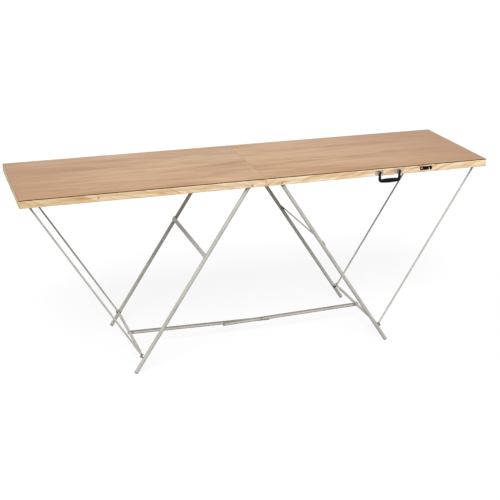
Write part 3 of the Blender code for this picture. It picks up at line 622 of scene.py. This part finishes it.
def lathe(profile, sides):
    """Spins (height, radius) points round the X axis; radius 0 closes on the axis."""
    shape = bmesh.new()
    rings = []
    for height, radius in profile:
        if radius == 0:
            rings.append([shape.verts.new((height, 0, 0))])
            continue
        ring = []
        for step in range(sides):
            angle = math.tau * step / sides
            ring.append(shape.verts.new((height, math.cos(angle) * radius, math.sin(angle) * radius)))
        rings.append(ring)
    for first, second in zip(rings, rings[1:]):
        for step in range(max(len(first), len(second))):
            corners = []
            for ring, offsets in ((first, (0, 1)), (second, (1, 0))):
                for offset in offsets:
                    corner = ring[(step + offset) % len(ring)]
                    if corner not in corners:
                        corners.append(corner)
            shape.faces.new(corners)
    return shape


def rim_points(rim):
    """How far in and how far round the points of a rounded rim lie, as pairs."""
    points = []
    for i in range(RIM_STEPS + 1):
        angle = QUARTER * i / RIM_STEPS
        points.append((rim - rim * math.cos(angle), rim * math.sin(angle) - rim))
    return points


def bar_profile(length, radius, rim):
    """A solid bar's outline with rounded rims, from one end to the other."""
    near = [(depth, radius + inset) for depth, inset in rim_points(rim)]
    far = [(length - depth, ring) for depth, ring in reversed(near)]
    return [(0, 0)] + near + far + [(length, 0)]


def tube_profile(length, radius, wall, rim):
    """An open tube's outline with rounded rims: outside down, inside back."""
    outside = [(depth, radius + inset) for depth, inset in rim_points(rim)]
    inside = [(depth, radius - wall - inset) for depth, inset in rim_points(rim)]
    far_outside = [(length - depth, ring) for depth, ring in reversed(outside)]
    far_inside = [(length - depth, ring) for depth, ring in inside]
    return outside + far_outside + far_inside + inside[::-1] + outside[:1]


def axis_matrix(place, direction):
    """Puts a shape that lies along X at a place, along a direction."""
    turn = Vector((1, 0, 0)).rotation_difference(Vector(direction)).to_matrix().to_4x4()
    return Matrix.Translation(place) @ turn


def softened_mesh(node, width):
    """A copy of a node with its loose triangles merged and its sharp edges rounded."""
    shape = bmesh.new()
    shape.from_mesh(NODES[node].data)
    bmesh.ops.remove_doubles(shape, verts=shape.verts, dist=MERGE_DISTANCE)
    bmesh.ops.dissolve_limit(shape, angle_limit=FLAT_ANGLE, verts=shape.verts, edges=shape.edges)
    sharp = []
    for edge in shape.edges:
        if len(edge.link_faces) == 2 and edge.calc_face_angle(0) > SMOOTH_ANGLE:
            sharp.append(edge)
    bmesh.ops.bevel(
        shape,
        geom=sharp,
        offset=width,
        segments=EDGE_STEPS,
        profile=EDGE_ROUNDNESS,
        affect="EDGES",
        clamp_overlap=True,
    )
    return mesh_of(shape)


def softened(node, material, width):
    new_piece(f"{node}_finished", softened_mesh(node, width), node, material)


def boolean(first_mesh, second_mesh, operation):
    """One mesh cut from or joined to another, as a new mesh."""
    first = bpy.data.objects.new("first", first_mesh)
    second = bpy.data.objects.new("second", second_mesh)
    for each in (first, second):
        bpy.context.scene.collection.objects.link(each)
    modifier = first.modifiers.new("boolean", "BOOLEAN")
    modifier.operation = operation
    modifier.solver = "EXACT"
    modifier.material_mode = "TRANSFER"
    modifier.object = second
    graph = bpy.context.evaluated_depsgraph_get()
    result = bpy.data.meshes.new_from_object(first.evaluated_get(graph))
    for each in (first, second):
        bpy.data.objects.remove(each, do_unlink=True)
    shade(result)
    return result


# Node trees that repeat a small shape on every place

class RepeatTree(Nodes):
    """A geometry node tree that turns points into copies of one small shape."""

    def __init__(self, name, size_names):
        super().__init__(bpy.data.node_groups.new(name, "GeometryNodeTree"))
        self.identifiers = {}
        self.socket("Places", "INPUT", "NodeSocketGeometry")
        for label in size_names:
            self.identifiers[label] = self.socket(label, "INPUT", "NodeSocketFloat").identifier
        self.socket("Pieces", "OUTPUT", "NodeSocketGeometry")
        self.start = self.tree.nodes.new("NodeGroupInput")
        self.end = self.tree.nodes.new("NodeGroupOutput")

    def socket(self, label, way, kind):
        return self.tree.interface.new_socket(label, in_out=way, socket_type=kind)

    def size(self, label):
        return self.start.outputs[label]

    def trio(self, x, y, z):
        return self.add("ShaderNodeCombineXYZ", X=x, Y=y, Z=z).outputs[0]

    def turn_by(self, x, y, z):
        angles = self.trio(x, y, z)
        return self.add("FunctionNodeEulerToRotation", Euler=angles).outputs["Rotation"]

    def random(self, low, high, seed):
        """A number between low and high, by the node's own sockets for plain numbers."""
        settings = {"data_type": "FLOAT"}
        made = self.add("FunctionNodeRandomValue", settings, i2=low, i3=high, Seed=seed)
        return made.outputs[1]

    def head(self, fineness):
        """A ball pressed to the head's radius and rise."""
        segments, rings = fineness
        ball = self.add("GeometryNodeMeshUVSphere", Segments=segments, Rings=rings, Radius=BALL_RADIUS)
        radius = self.size("Head radius")
        scale = self.trio(radius, radius, self.size("Head rise"))
        pressed = self.add("GeometryNodeTransform", Geometry=ball.outputs["Mesh"], Scale=scale)
        return pressed.outputs["Geometry"]

    def finish(self, shape, material, turn, size=(1, 1, 1)):
        """Puts the shape on every place, facing its way, and makes it one plain mesh."""
        settings = {"data_type": "FLOAT_VECTOR"}
        named = self.add("GeometryNodeInputNamedAttribute", settings, Name="facing")
        facing = named.outputs["Attribute"]
        aligned = self.add("FunctionNodeAlignRotationToVector", {"axis": "Z"}, Vector=facing)
        start = aligned.outputs["Rotation"]
        settings = {"rotation_space": "LOCAL"}
        turned = self.add("FunctionNodeRotateRotation", settings, Rotation=start, Rotate_By=turn)
        copies = self.add(
            "GeometryNodeInstanceOnPoints",
            Points=self.start.outputs["Places"],
            Instance=shape,
            Rotation=turned.outputs["Rotation"],
            Scale=size,
        )
        plain = self.add("GeometryNodeRealizeInstances", Geometry=copies.outputs["Instances"])
        smooth = self.add("GeometryNodeSetShadeSmooth", Geometry=plain.outputs["Geometry"])
        finished = self.add("GeometryNodeSetMaterial", Geometry=smooth.outputs["Geometry"])
        self.feed(finished, "Material", material)
        self.feed(self.end, "Pieces", finished.outputs["Geometry"])


def dome_tree(name, material, fineness):
    """A low round head, such as a nail's, half sunk in what it holds."""
    made = RepeatTree(name, ("Head radius", "Head rise"))
    turn = made.turn_by(0, 0, made.random(0, math.tau, DOME_SEED))
    made.finish(made.head(fineness), material, turn)
    return made


def screw_tree(name, material):
    """A raised screw head with a cross recess, turned by chance."""
    made = RepeatTree(name, ("Head radius", "Head rise"))
    radius, rise = made.size("Head radius"), made.size("Head rise")
    length = made.reckon("MULTIPLY", radius, RECESS_SHARE)
    width = made.reckon("MULTIPLY", radius, RECESS_WIDTH_SHARE)
    lift = made.trio(0, 0, rise)
    settings = {"operation": "DIFFERENCE", "solver": "EXACT"}
    cut = made.add("GeometryNodeMeshBoolean", settings, Mesh_1=made.head(SCREW_FINENESS))
    for sizes in ((length, width, rise), (width, length, rise)):
        block = made.add("GeometryNodeMeshCube", Size=made.trio(*sizes)).outputs["Mesh"]
        lifted = made.add("GeometryNodeTransform", Geometry=block, Translation=lift)
        made.feed(cut, "Mesh 2", lifted.outputs["Geometry"])
    turn = made.turn_by(0, 0, made.random(0, math.tau, SCREW_SEED))
    made.finish(cut.outputs["Mesh"], material, turn)
    return made


def bead_tree(name, material):
    """One lump of a weld, of varied size, so that a row of them makes a seam."""
    made = RepeatTree(name, ("Bead radius",))
    radius = made.size("Bead radius")
    lump = made.add("GeometryNodeMeshIcoSphere", Radius=radius, Subdivisions=BEAD_FINENESS)
    first, last = [made.random(0, math.tau, seed) for seed in BEAD_TURN_SEEDS]
    size = made.random(*BEAD_SIZE_SHARES, BEAD_SIZE_SEED)
    made.finish(lump.outputs["Mesh"], material, made.turn_by(first, 0, last), size)
    return made


def repeat_on(name, made, sizes, places, body, material):
    """One mesh, riding on a body, of the tree's small shape on every (place, facing)."""
    points = bpy.data.meshes.new(f"{name}_places")
    points.from_pydata([tuple(place) for place, _ in places], [], [])
    facing = points.attributes.new("facing", "FLOAT_VECTOR", "POINT")
    for entry, (_, direction) in zip(facing.data, places):
        entry.vector = direction
    holder = bpy.data.objects.new(f"{name}_holder", points)
    modifier = holder.modifiers.new("repeat", "NODES")
    modifier.node_group = made.tree
    for label, value in sizes.items():
        modifier[made.identifiers[label]] = value
    bpy.context.scene.collection.objects.link(holder)
    graph = bpy.context.evaluated_depsgraph_get()
    mesh = bpy.data.meshes.new_from_object(holder.evaluated_get(graph))
    bpy.data.objects.remove(holder, do_unlink=True)
    if "facing" in mesh.attributes:
        mesh.attributes.remove(mesh.attributes["facing"])
    shade(mesh)
    new_piece(name, mesh, body, material, replaced=False)


# Wood: sheets and rails

def finish_sheets():
    for side in SIDES:
        softened(f"{side}_top_sheet", plywood(side), SHEET_EDGE)


def finish_rails():
    """Each rail in its own stretch of the pine, whose grain runs along it."""
    for name, (slant, shift) in RAIL_WOOD.items():
        side, place = name.split("_")
        turn = (0, math.radians(slant), 0 if place in ENDS else QUARTER)
        wood = pine(f"pine_{name}", shift, turn, PINE_TONES[side])
        softened(f"{name}_rail", wood, RAIL_EDGE)


def spaced(start, stop, spacing):
    """Even places from start to stop, both included, about a spacing apart."""
    count = max(2, round((stop - start) / spacing) + 1)
    return [start + (stop - start) * i / (count - 1) for i in range(count)]


def in_world(side, places):
    """(place, facing) pairs of a half's own frame, moved to the table's frame."""
    matrix = half_matrix(side)
    turn = matrix.to_3x3()
    return [(matrix @ Vector(place), turn @ Vector(facing)) for place, facing in places]


def finish_nails():
    """Two nails at each corner of the frames, through the long rails' faces."""
    made = dome_tree("nail_tree", NAIL, NAIL_FINENESS)
    sizes = {"Head radius": NAIL_RADIUS, "Head rise": NAIL_DOME}
    heights = (RAIL_HEIGHT * NAIL_SPREAD_SHARE, RAIL_HEIGHT * (1 - NAIL_SPREAD_SHARE))
    for side in SIDES:
        places = []
        for face in ENDS.values():
            for x in (NAIL_FROM_END, HALF_LENGTH - NAIL_FROM_END):
                for z in heights:
                    places.append(((x, face * HALF_WIDTH, z), (0, face, 0)))
        name = f"{side}_corner_nails"
        repeat_on(name, made, sizes, in_world(side, places), f"{side}_half", NAIL)


def finish_pins():
    """Small pins that hold the sheets down all round on the rails."""
    made = dome_tree("pin_tree", PIN, PIN_FINENESS)
    sizes = {"Head radius": PIN_RADIUS, "Head rise": PIN_DOME}
    top = TABLE_TOP - FRAME_BOTTOM
    edge_y = HALF_WIDTH - PIN_FROM_EDGE
    for side in SIDES:
        places = []
        for x in spaced(PIN_FROM_CORNER, HALF_LENGTH - PIN_FROM_CORNER, PIN_SPACING):
            for face in ENDS.values():
                places.append(((x, face * edge_y, top), (0, 0, 1)))
        for y in spaced(PIN_FROM_CORNER - edge_y, edge_y - PIN_FROM_CORNER, PIN_SPACING):
            for x in (PIN_FROM_EDGE, HALF_LENGTH - PIN_FROM_EDGE):
                places.append(((x, y, top), (0, 0, 1)))
        name = f"{side}_sheet_pins"
        repeat_on(name, made, sizes, in_world(side, places), f"{side}_half", PIN)


# Steel: legs, strips, stays and spreader

def leg_reach():
    """The leg's length from its pivot to the foot, whose lower edge is on the floor."""
    slope_share = math.cos(LEG_SLOPE) / math.sin(LEG_SLOPE)
    pivot_height = JOINTS["right_leg_fold"]["pos_m"][2]
    return pivot_height / math.sin(LEG_SLOPE) - LEG_RADIUS * slope_share


def finish_legs():
    reach = leg_reach()
    length = reach - CAP_THICKNESS - GAP + LEG_TOP_OVERHANG
    profile = tube_profile(length, LEG_RADIUS, LEG_WALL, LEG_RIM)
    for side in SIDES:
        matrix = leg_matrix(side)
        for end in ENDS:
            middle = across(side, end) * LEG_PLACE
            place = matrix @ Matrix.Translation((-LEG_TOP_OVERHANG, middle, 0))
            mesh = mesh_of(lathe(profile, TUBE_SIDES), place)
            new_piece(f"{side}_{end}_leg_tube", mesh, f"{side}_{end}_leg", PAINT)
            finish_foot_plug(side, end, matrix, middle, reach)


def finish_foot_plug(side, end, matrix, middle, reach):
    shoulder = reach - CAP_THICKNESS
    stem = LEG_RADIUS - LEG_WALL - GAP
    profile = [(shoulder - STEM_LENGTH, 0), (shoulder - STEM_LENGTH, stem), (shoulder, stem)]
    profile += [(shoulder, LEG_RADIUS - CAP_RIM / 2), (shoulder + CAP_RIM / 2, LEG_RADIUS)]
    for depth, inset in reversed(rim_points(CAP_RIM)):
        profile.append((reach - depth, LEG_RADIUS + inset))
    profile.append((reach, 0))
    place = matrix @ Matrix.Translation((0, middle, 0))
    mesh = mesh_of(lathe(profile, TUBE_SIDES), place)
    new_piece(f"{side}_{end}_foot", mesh, f"{side}_{end}_foot_plug", PLUG)


def finish_stays():
    """The rods with their bent upper ends, the cross rod and its sleeve."""
    for side in SIDES:
        for end in ENDS:
            node = f"{side}_{end}_stay_rod"
            points = stay_rod_path(across(side, end), node)
            radii = [ROD_RADIUS] * len(points)
            shape = sweep(points, radii, ROD_SIDES, Vector((0, 0, 1)))
            mesh = mesh_of(shape, stay_matrix(side))
            new_piece(f"{side}_{end}_stay", mesh, node, PAINT)
        profile = bar_profile(ROD_REACH * 2, ROD_RADIUS, ROD_RIM)
        finish_cross_part(f"{side}_cross_rod", f"{side}_stay_cross_rod", side, profile, ROD_REACH)
        wall = SLEEVE_RADIUS - ROD_RADIUS - GAP
        profile = tube_profile(SLEEVE_REACH * 2, SLEEVE_RADIUS, wall, SLEEVE_RIM)
        finish_cross_part(f"{side}_sleeve", f"{side}_cross_rod_sleeve", side, profile, SLEEVE_REACH)


def finish_cross_part(name, node, side, profile, reach):
    """A round part that lies across the lower ends of a side's stays."""
    place = stay_matrix(side) @ axis_matrix((STAY_LENGTH, -reach, 0), (0, 1, 0))
    new_piece(name, mesh_of(lathe(profile, ROD_SIDES), place), node, PAINT)


def stay_place(node):
    """How far across from the table's middle a stay rod runs, and where its stub ends."""
    low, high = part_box(node)
    reaches = sorted((abs(low[1] - MIDDLE_Y), abs(high[1] - MIDDLE_Y)))
    return reaches[1] - ROD_RADIUS, reaches[0]


def stay_rod_path(sign, node):
    """From the stub in the bracket, round the bend and down to the cross rod."""
    outer, stub_end = stay_place(node)
    points = [Vector((0, sign * stub_end, 0))]
    for i in range(BEND_STEPS + 1):
        angle = QUARTER * i / BEND_STEPS
        x = STAY_BEND - STAY_BEND * math.cos(angle)
        y = outer - STAY_BEND + STAY_BEND * math.sin(angle)
        points.append(Vector((x, sign * y, 0)))
    points.append(Vector((STAY_LENGTH - ROD_RADIUS - GAP, sign * outer, 0)))
    return points


def finish_spreaders():
    """The spreader bars, pressed with a long groove in each face. The groove's faces take a paler copy
    of the bar's paint as painted light, and the rest takes a darker copy as painted shade.
    """
    for side in SIDES:
        node = f"{side}_spreader_bar"
        mesh = softened_mesh(node, BAR_EDGE)
        # The bar takes the darker paint, a painted shade
        mesh.materials.append(BAR_SHADED_PAINT)
        matrix = spreader_matrix(side)
        low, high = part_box(node)
        length = (high[0] - low[0]) / math.cos(SPREADER_SLOPE) - GROOVE_MARGIN * 2
        profile = bar_profile(length, GROOVE_RADIUS, GROOVE_RADIUS / 2)
        near = GROOVE_RADIUS - GROOVE_DEPTH - BAR_SIDE_GAP
        far = -BAR_SIDE_GAP - BAR_THICKNESS - GROOVE_RADIUS + GROOVE_DEPTH
        for y in (near, far):
            place = matrix @ Matrix.Translation((GROOVE_MARGIN, y, 0))
            cutter = mesh_of(lathe(profile, ROD_SIDES), place)
            # The groove's faces take the paler paint, a painted light
            cutter.materials.append(GROOVE_LIT_PAINT)
            mesh = boolean(mesh, cutter, "DIFFERENCE")
        new_piece(f"{side}_spreader", mesh, node, None)


def finish_plates():
    for side in SIDES:
        softened(f"{side}_cross_strip", PAINT, BAR_EDGE)
        for end in ENDS:
            # The hooks take the dark coat, a painted shade where the stays meet the legs
            softened(f"{side}_{end}_rod_hook", HOOK, PLATE_EDGE)
            softened(f"{side}_{end}_stay_bracket", BRACKET, PLATE_EDGE)
            softened(f"{side}_{end}_hinge_leaf", ZINC, LEAF_EDGE)
            softened(f"{side}_{end}_leg_nut", BOLT, PLATE_EDGE)
            softened(f"{side}_{end}_leg_bolt", BOLT, HEAD_EDGE)
    for end in ENDS:
        softened(f"{end}_hinge_pin", DARK, HEAD_EDGE)
    softened("spreader_rivet", BOLT, HEAD_EDGE)


def ring_places(centre, axis, radius):
    """Places round a ring for the lumps of a weld, each facing outwards."""
    side = Vector(axis).orthogonal().normalized()
    other = Vector(axis).cross(side)
    places = []
    for step in range(BEAD_STEPS):
        angle = math.tau * step / BEAD_STEPS
        offset = side * math.cos(angle) + other * math.sin(angle)
        places.append((Vector(centre) + offset * radius, offset))
    return places


def moved(matrix, places):
    turn = matrix.to_3x3()
    return [(matrix @ place, turn @ facing) for place, facing in places]


def finish_welds():
    """Weld beads where the stays meet their cross rods and the strips and hooks the legs."""
    made = bead_tree("bead_tree", WELD)
    sizes = {"Bead radius": BEAD_RADIUS}
    for side in SIDES:
        stay_places = []
        for end in ENDS:
            outer, _ = stay_place(f"{side}_{end}_stay_rod")
            centre = (STAY_LENGTH - ROD_RADIUS - GAP, across(side, end) * outer, 0)
            stay_places += ring_places(centre, (1, 0, 0), ROD_RADIUS)
        places = moved(stay_matrix(side), stay_places)
        repeat_on(f"{side}_stay_welds", made, sizes, places, f"{side}_stay", WELD)
        places = strip_weld_places(side) + hook_weld_places(side)
        body = f"{side}_leg_frame"
        repeat_on(f"{side}_leg_welds", made, sizes, places, body, WELD)


def extent_in(node, matrix):
    """A node's lowest and highest corner in another frame, such as its leg's."""
    inverse = matrix.inverted()
    rows = list(zip(*[inverse @ vertex.co for vertex in NODES[node].data.vertices]))
    return Vector([min(row) for row in rows]), Vector([max(row) for row in rows])


def strip_weld_places(side):
    """Across each leg along both edges of the strip that lies on it."""
    matrix = leg_matrix(side)
    low, high = extent_in(f"{side}_cross_strip", matrix)
    reach = LEG_RADIUS * STRIP_WELD_SHARE
    places = []
    for end in ENDS:
        middle = across(side, end) * LEG_PLACE
        for x in (low.x, high.x):
            for y in spaced(middle - reach, middle + reach, BEAD_RADIUS):
                places.append((Vector((x, y, low.z)), Vector((0, 0, 1))))
    return moved(matrix, places)


def hook_weld_places(side):
    """Along the foot of each hook, where its plate stands on the leg's inner side."""
    matrix = leg_matrix(side)
    places = []
    for end in ENDS:
        sign = across(side, end)
        low, high = extent_in(f"{side}_{end}_rod_hook", matrix)
        y = sign * (LEG_PLACE - LEG_RADIUS * HOOK_WELD_SHARE)
        for x in spaced(low.x + BEAD_RADIUS, high.x - BEAD_RADIUS, BEAD_RADIUS * 2):
            places.append((Vector((x, y, low.z)), Vector((0, -sign, 0))))
    return moved(matrix, places)


# Screws of the hinges, the brackets and the handle's mounts

def finish_screws():
    made = screw_tree("screw_tree", ZINC)
    large = {"Head radius": SCREW_RADIUS, "Head rise": SCREW_DOME}
    small = {"Head radius": LEAF_SCREW_RADIUS, "Head rise": LEAF_SCREW_DOME}
    for side in SIDES:
        body = f"{side}_half"
        places = in_world(side, leaf_screws(side))
        repeat_on(f"{side}_hinge_screws", made, small, places, body, ZINC)
        places = in_world(side, bracket_screws(side))
        repeat_on(f"{side}_bracket_screws", made, large, places, body, ZINC)
    places = in_world("right", mount_screws())
    repeat_on("handle_screws", made, large, places, "right_half", BRIGHT)


def leaf_screws(side):
    places = []
    for end in ENDS:
        low, high = extent_in(f"{side}_{end}_hinge_leaf", half_matrix(side))
        middle = (low.y + high.y) / 2
        for shift in (-LEAF_SCREW_SPREAD, 0, LEAF_SCREW_SPREAD):
            places.append(((LEAF_SCREW_OUT, middle + shift, 0), (0, 0, -1)))
    return places


def bracket_screws(side):
    places = []
    for end in ENDS:
        low, high = extent_in(f"{side}_{end}_stay_bracket", half_matrix(side))
        inner = low.y if across(side, end) > 0 else high.y
        y = inner + across(side, end) * BRACKET_SCREW_INSET
        for z in (low.z + BRACKET_SCREW_INSET, high.z - BRACKET_SCREW_INSET):
            places.append(((high.x - BRACKET_THICKNESS, y, z), (-1, 0, 0)))
    return places


def mount_screws():
    face = -HALF_WIDTH - GAP - MOUNT_THICKNESS
    places = []
    for place in ("inner", "outer"):
        low, high = extent_in(f"{place}_handle_mount", half_matrix("right"))
        inset = (high.z - low.z) / 2 * MOUNT_SCREW_INSET_SHARE
        for x in (low.x + inset, high.x - inset):
            places.append(((x, face, (low.z + high.z) / 2), (0, -1, 0)))
    return places


# The carrying handle and the latch

def grip_path(half_span):
    """Down one arm, along the swelling bar and up the other, with the radii on the way."""
    corner = Vector((half_span - GRIP_CORNER, 0, GRIP_CORNER - GRIP_DROP))
    points = [Vector((half_span, 0, -GRIP_EYE_RADIUS / 2))]
    radii = [GRIP_ARM_RADIUS - GAP]
    for i in range(BEND_STEPS + 1):
        angle = QUARTER * i / BEND_STEPS
        offset = Vector((math.cos(angle), 0, -math.sin(angle))) * GRIP_CORNER
        points.append(corner + offset)
        radii.append(GRIP_BEND_RADIUS + (GRIP_RADIUS - GRIP_BEND_RADIUS) / 2 * i / BEND_STEPS)
    bar_start, bar_radius = points[-1].x, radii[-1]
    for i in range(1, GRIP_BAR_STEPS):
        share = i / GRIP_BAR_STEPS
        swell = math.sin(QUARTER * share)
        points.append(Vector((bar_start * (1 - share), 0, -GRIP_DROP)))
        radii.append(bar_radius + (GRIP_RADIUS - bar_radius) * swell)
    mirrored = [Vector((-point.x, 0, point.z)) for point in reversed(points)]
    middle = [Vector((0, 0, -GRIP_DROP))]
    return points + middle + mirrored, radii + [GRIP_RADIUS] + list(reversed(radii))


def finish_handle():
    """The mounts with their pins, and the smooth grip that swings between them."""
    middles = []
    for place in ("inner", "outer"):
        # The mounts' near-black patches are painted shade
        softened(f"{place}_handle_mount", MOUNT, PLATE_EDGE)
        low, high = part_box(f"{place}_handle_mount")
        middles.append((low[0] + high[0]) / 2)
    half_span = (middles[1] - middles[0]) / 2
    matrix = Matrix.Translation(JOINTS["handle_swing"]["pos_m"])
    points, radii = grip_path(half_span)
    mesh = mesh_of(sweep(points, radii, GRIP_SIDES, Vector((0, 1, 0))), matrix)
    wall = GRIP_EYE_RADIUS - GRIP_PIN_BORE
    profile = tube_profile(GRIP_EYE_WIDTH, GRIP_EYE_RADIUS, wall, GRIP_RIM)
    for sign in SIDES.values():
        start = matrix @ Matrix.Translation((sign * half_span - GRIP_EYE_WIDTH / 2, 0, 0))
        eye = mesh_of(lathe(profile, GRIP_SIDES), start)
        mesh = boolean(mesh, eye, "UNION")
    new_piece("carrying_grip", mesh, "handle_grip", GRIP)


def finish_latch():
    softened("latch_plate", BLACK, PLATE_EDGE)
    softened("latch_screw", ZINC, HEAD_EDGE)
    softened("latch_stud", STUD, HEAD_EDGE)


# Studio

def floor_material():
    """White to the camera but for a faint shadow, and plain pale to the light."""
    material = bpy.data.materials.new("floor")
    material.use_nodes = True
    material.node_tree.nodes.clear()
    made = Nodes(material.node_tree)
    plain = made.add("ShaderNodeBsdfDiffuse", Color=FLOOR_COLOUR).outputs[0]
    shadow = made.add("ShaderNodeBsdfDiffuse", Color=SHADOW_COLOUR).outputs[0]
    glow = made.add("ShaderNodeEmission", Strength=FLOOR_GLOW).outputs[0]
    seen = made.add("ShaderNodeAddShader", i0=shadow, i1=glow).outputs[0]
    mix = made.add("ShaderNodeMixShader", i0=seen_by_eye(made), i1=plain, i2=seen)
    made.add("ShaderNodeOutputMaterial", Surface=mix.outputs[0])
    return material


def seen_by_eye(made):
    """1 for what the camera sees, straight on, through glass or in polished metal, else 0."""
    rays = made.add("ShaderNodeLightPath").outputs
    total = rays["Is Camera Ray"]
    for kind in ("Is Glossy Ray", "Is Transmission Ray"):
        total = made.reckon("MAXIMUM", total, rays[kind])
    return total


def make_floor():
    shape = bmesh.new()
    bmesh.ops.create_grid(shape, x_segments=1, y_segments=1, size=FLOOR_REACH)
    mesh = bpy.data.meshes.new("floor")
    shape.to_mesh(mesh)
    shape.free()
    mesh.materials.append(floor_material())
    floor = bpy.data.objects.new("floor", mesh)
    bpy.context.scene.collection.objects.link(floor)


def make_world():
    world = bpy.data.worlds.new("studio")
    bpy.context.scene.world = world
    world.use_nodes = True
    made = Nodes(world.node_tree)
    background = world.node_tree.nodes["Background"]
    made.feed(background, "Color", (1, 1, 1))
    made.feed(background, "Strength", made.spread(seen_by_eye(made), 0, 1, WORLD_LIGHT, 1))


def make_sun(name, toward, strength, softness):
    """A wide soft light that falls the same everywhere, towards a direction."""
    lamp = bpy.data.lights.new(name, "SUN")
    lamp.energy = strength
    lamp.angle = softness
    holder = bpy.data.objects.new(name, lamp)
    holder.rotation_euler = Vector(toward).to_track_quat("-Z", "Y").to_euler()
    bpy.context.scene.collection.objects.link(holder)


def make_camera():
    azimuth, elevation = math.radians(CAMERA_AZIMUTH), math.radians(CAMERA_ELEVATION)
    level = math.cos(elevation)
    forward = Vector((-math.sin(azimuth) * level, math.cos(azimuth) * level, -math.sin(elevation)))
    camera = bpy.data.cameras.new("camera")
    camera.sensor_width = SENSOR_MM
    camera.lens = FOCAL_PIXELS / PICTURE_PIXELS * SENSOR_MM
    camera.shift_y = CAMERA_SHIFT
    camera.clip_end = FAR_CLIP
    holder = bpy.data.objects.new("camera", camera)
    holder.location = CAMERA_PLACE
    holder.rotation_euler = forward.to_track_quat("-Z", "Y").to_euler()
    bpy.context.scene.collection.objects.link(holder)
    bpy.context.scene.camera = holder


make_camera()
finish_sheets()
finish_rails()
finish_nails()
finish_pins()
finish_legs()
finish_stays()
finish_spreaders()
finish_plates()
finish_welds()
finish_screws()
finish_handle()
finish_latch()
make_floor()
make_world()
make_sun("key", KEY_DIRECTION, KEY_STRENGTH, KEY_SOFTNESS)
make_sun("fill", FILL_DIRECTION, FILL_STRENGTH, FILL_SOFTNESS)
bpy.context.scene.view_settings.view_transform = "Standard"
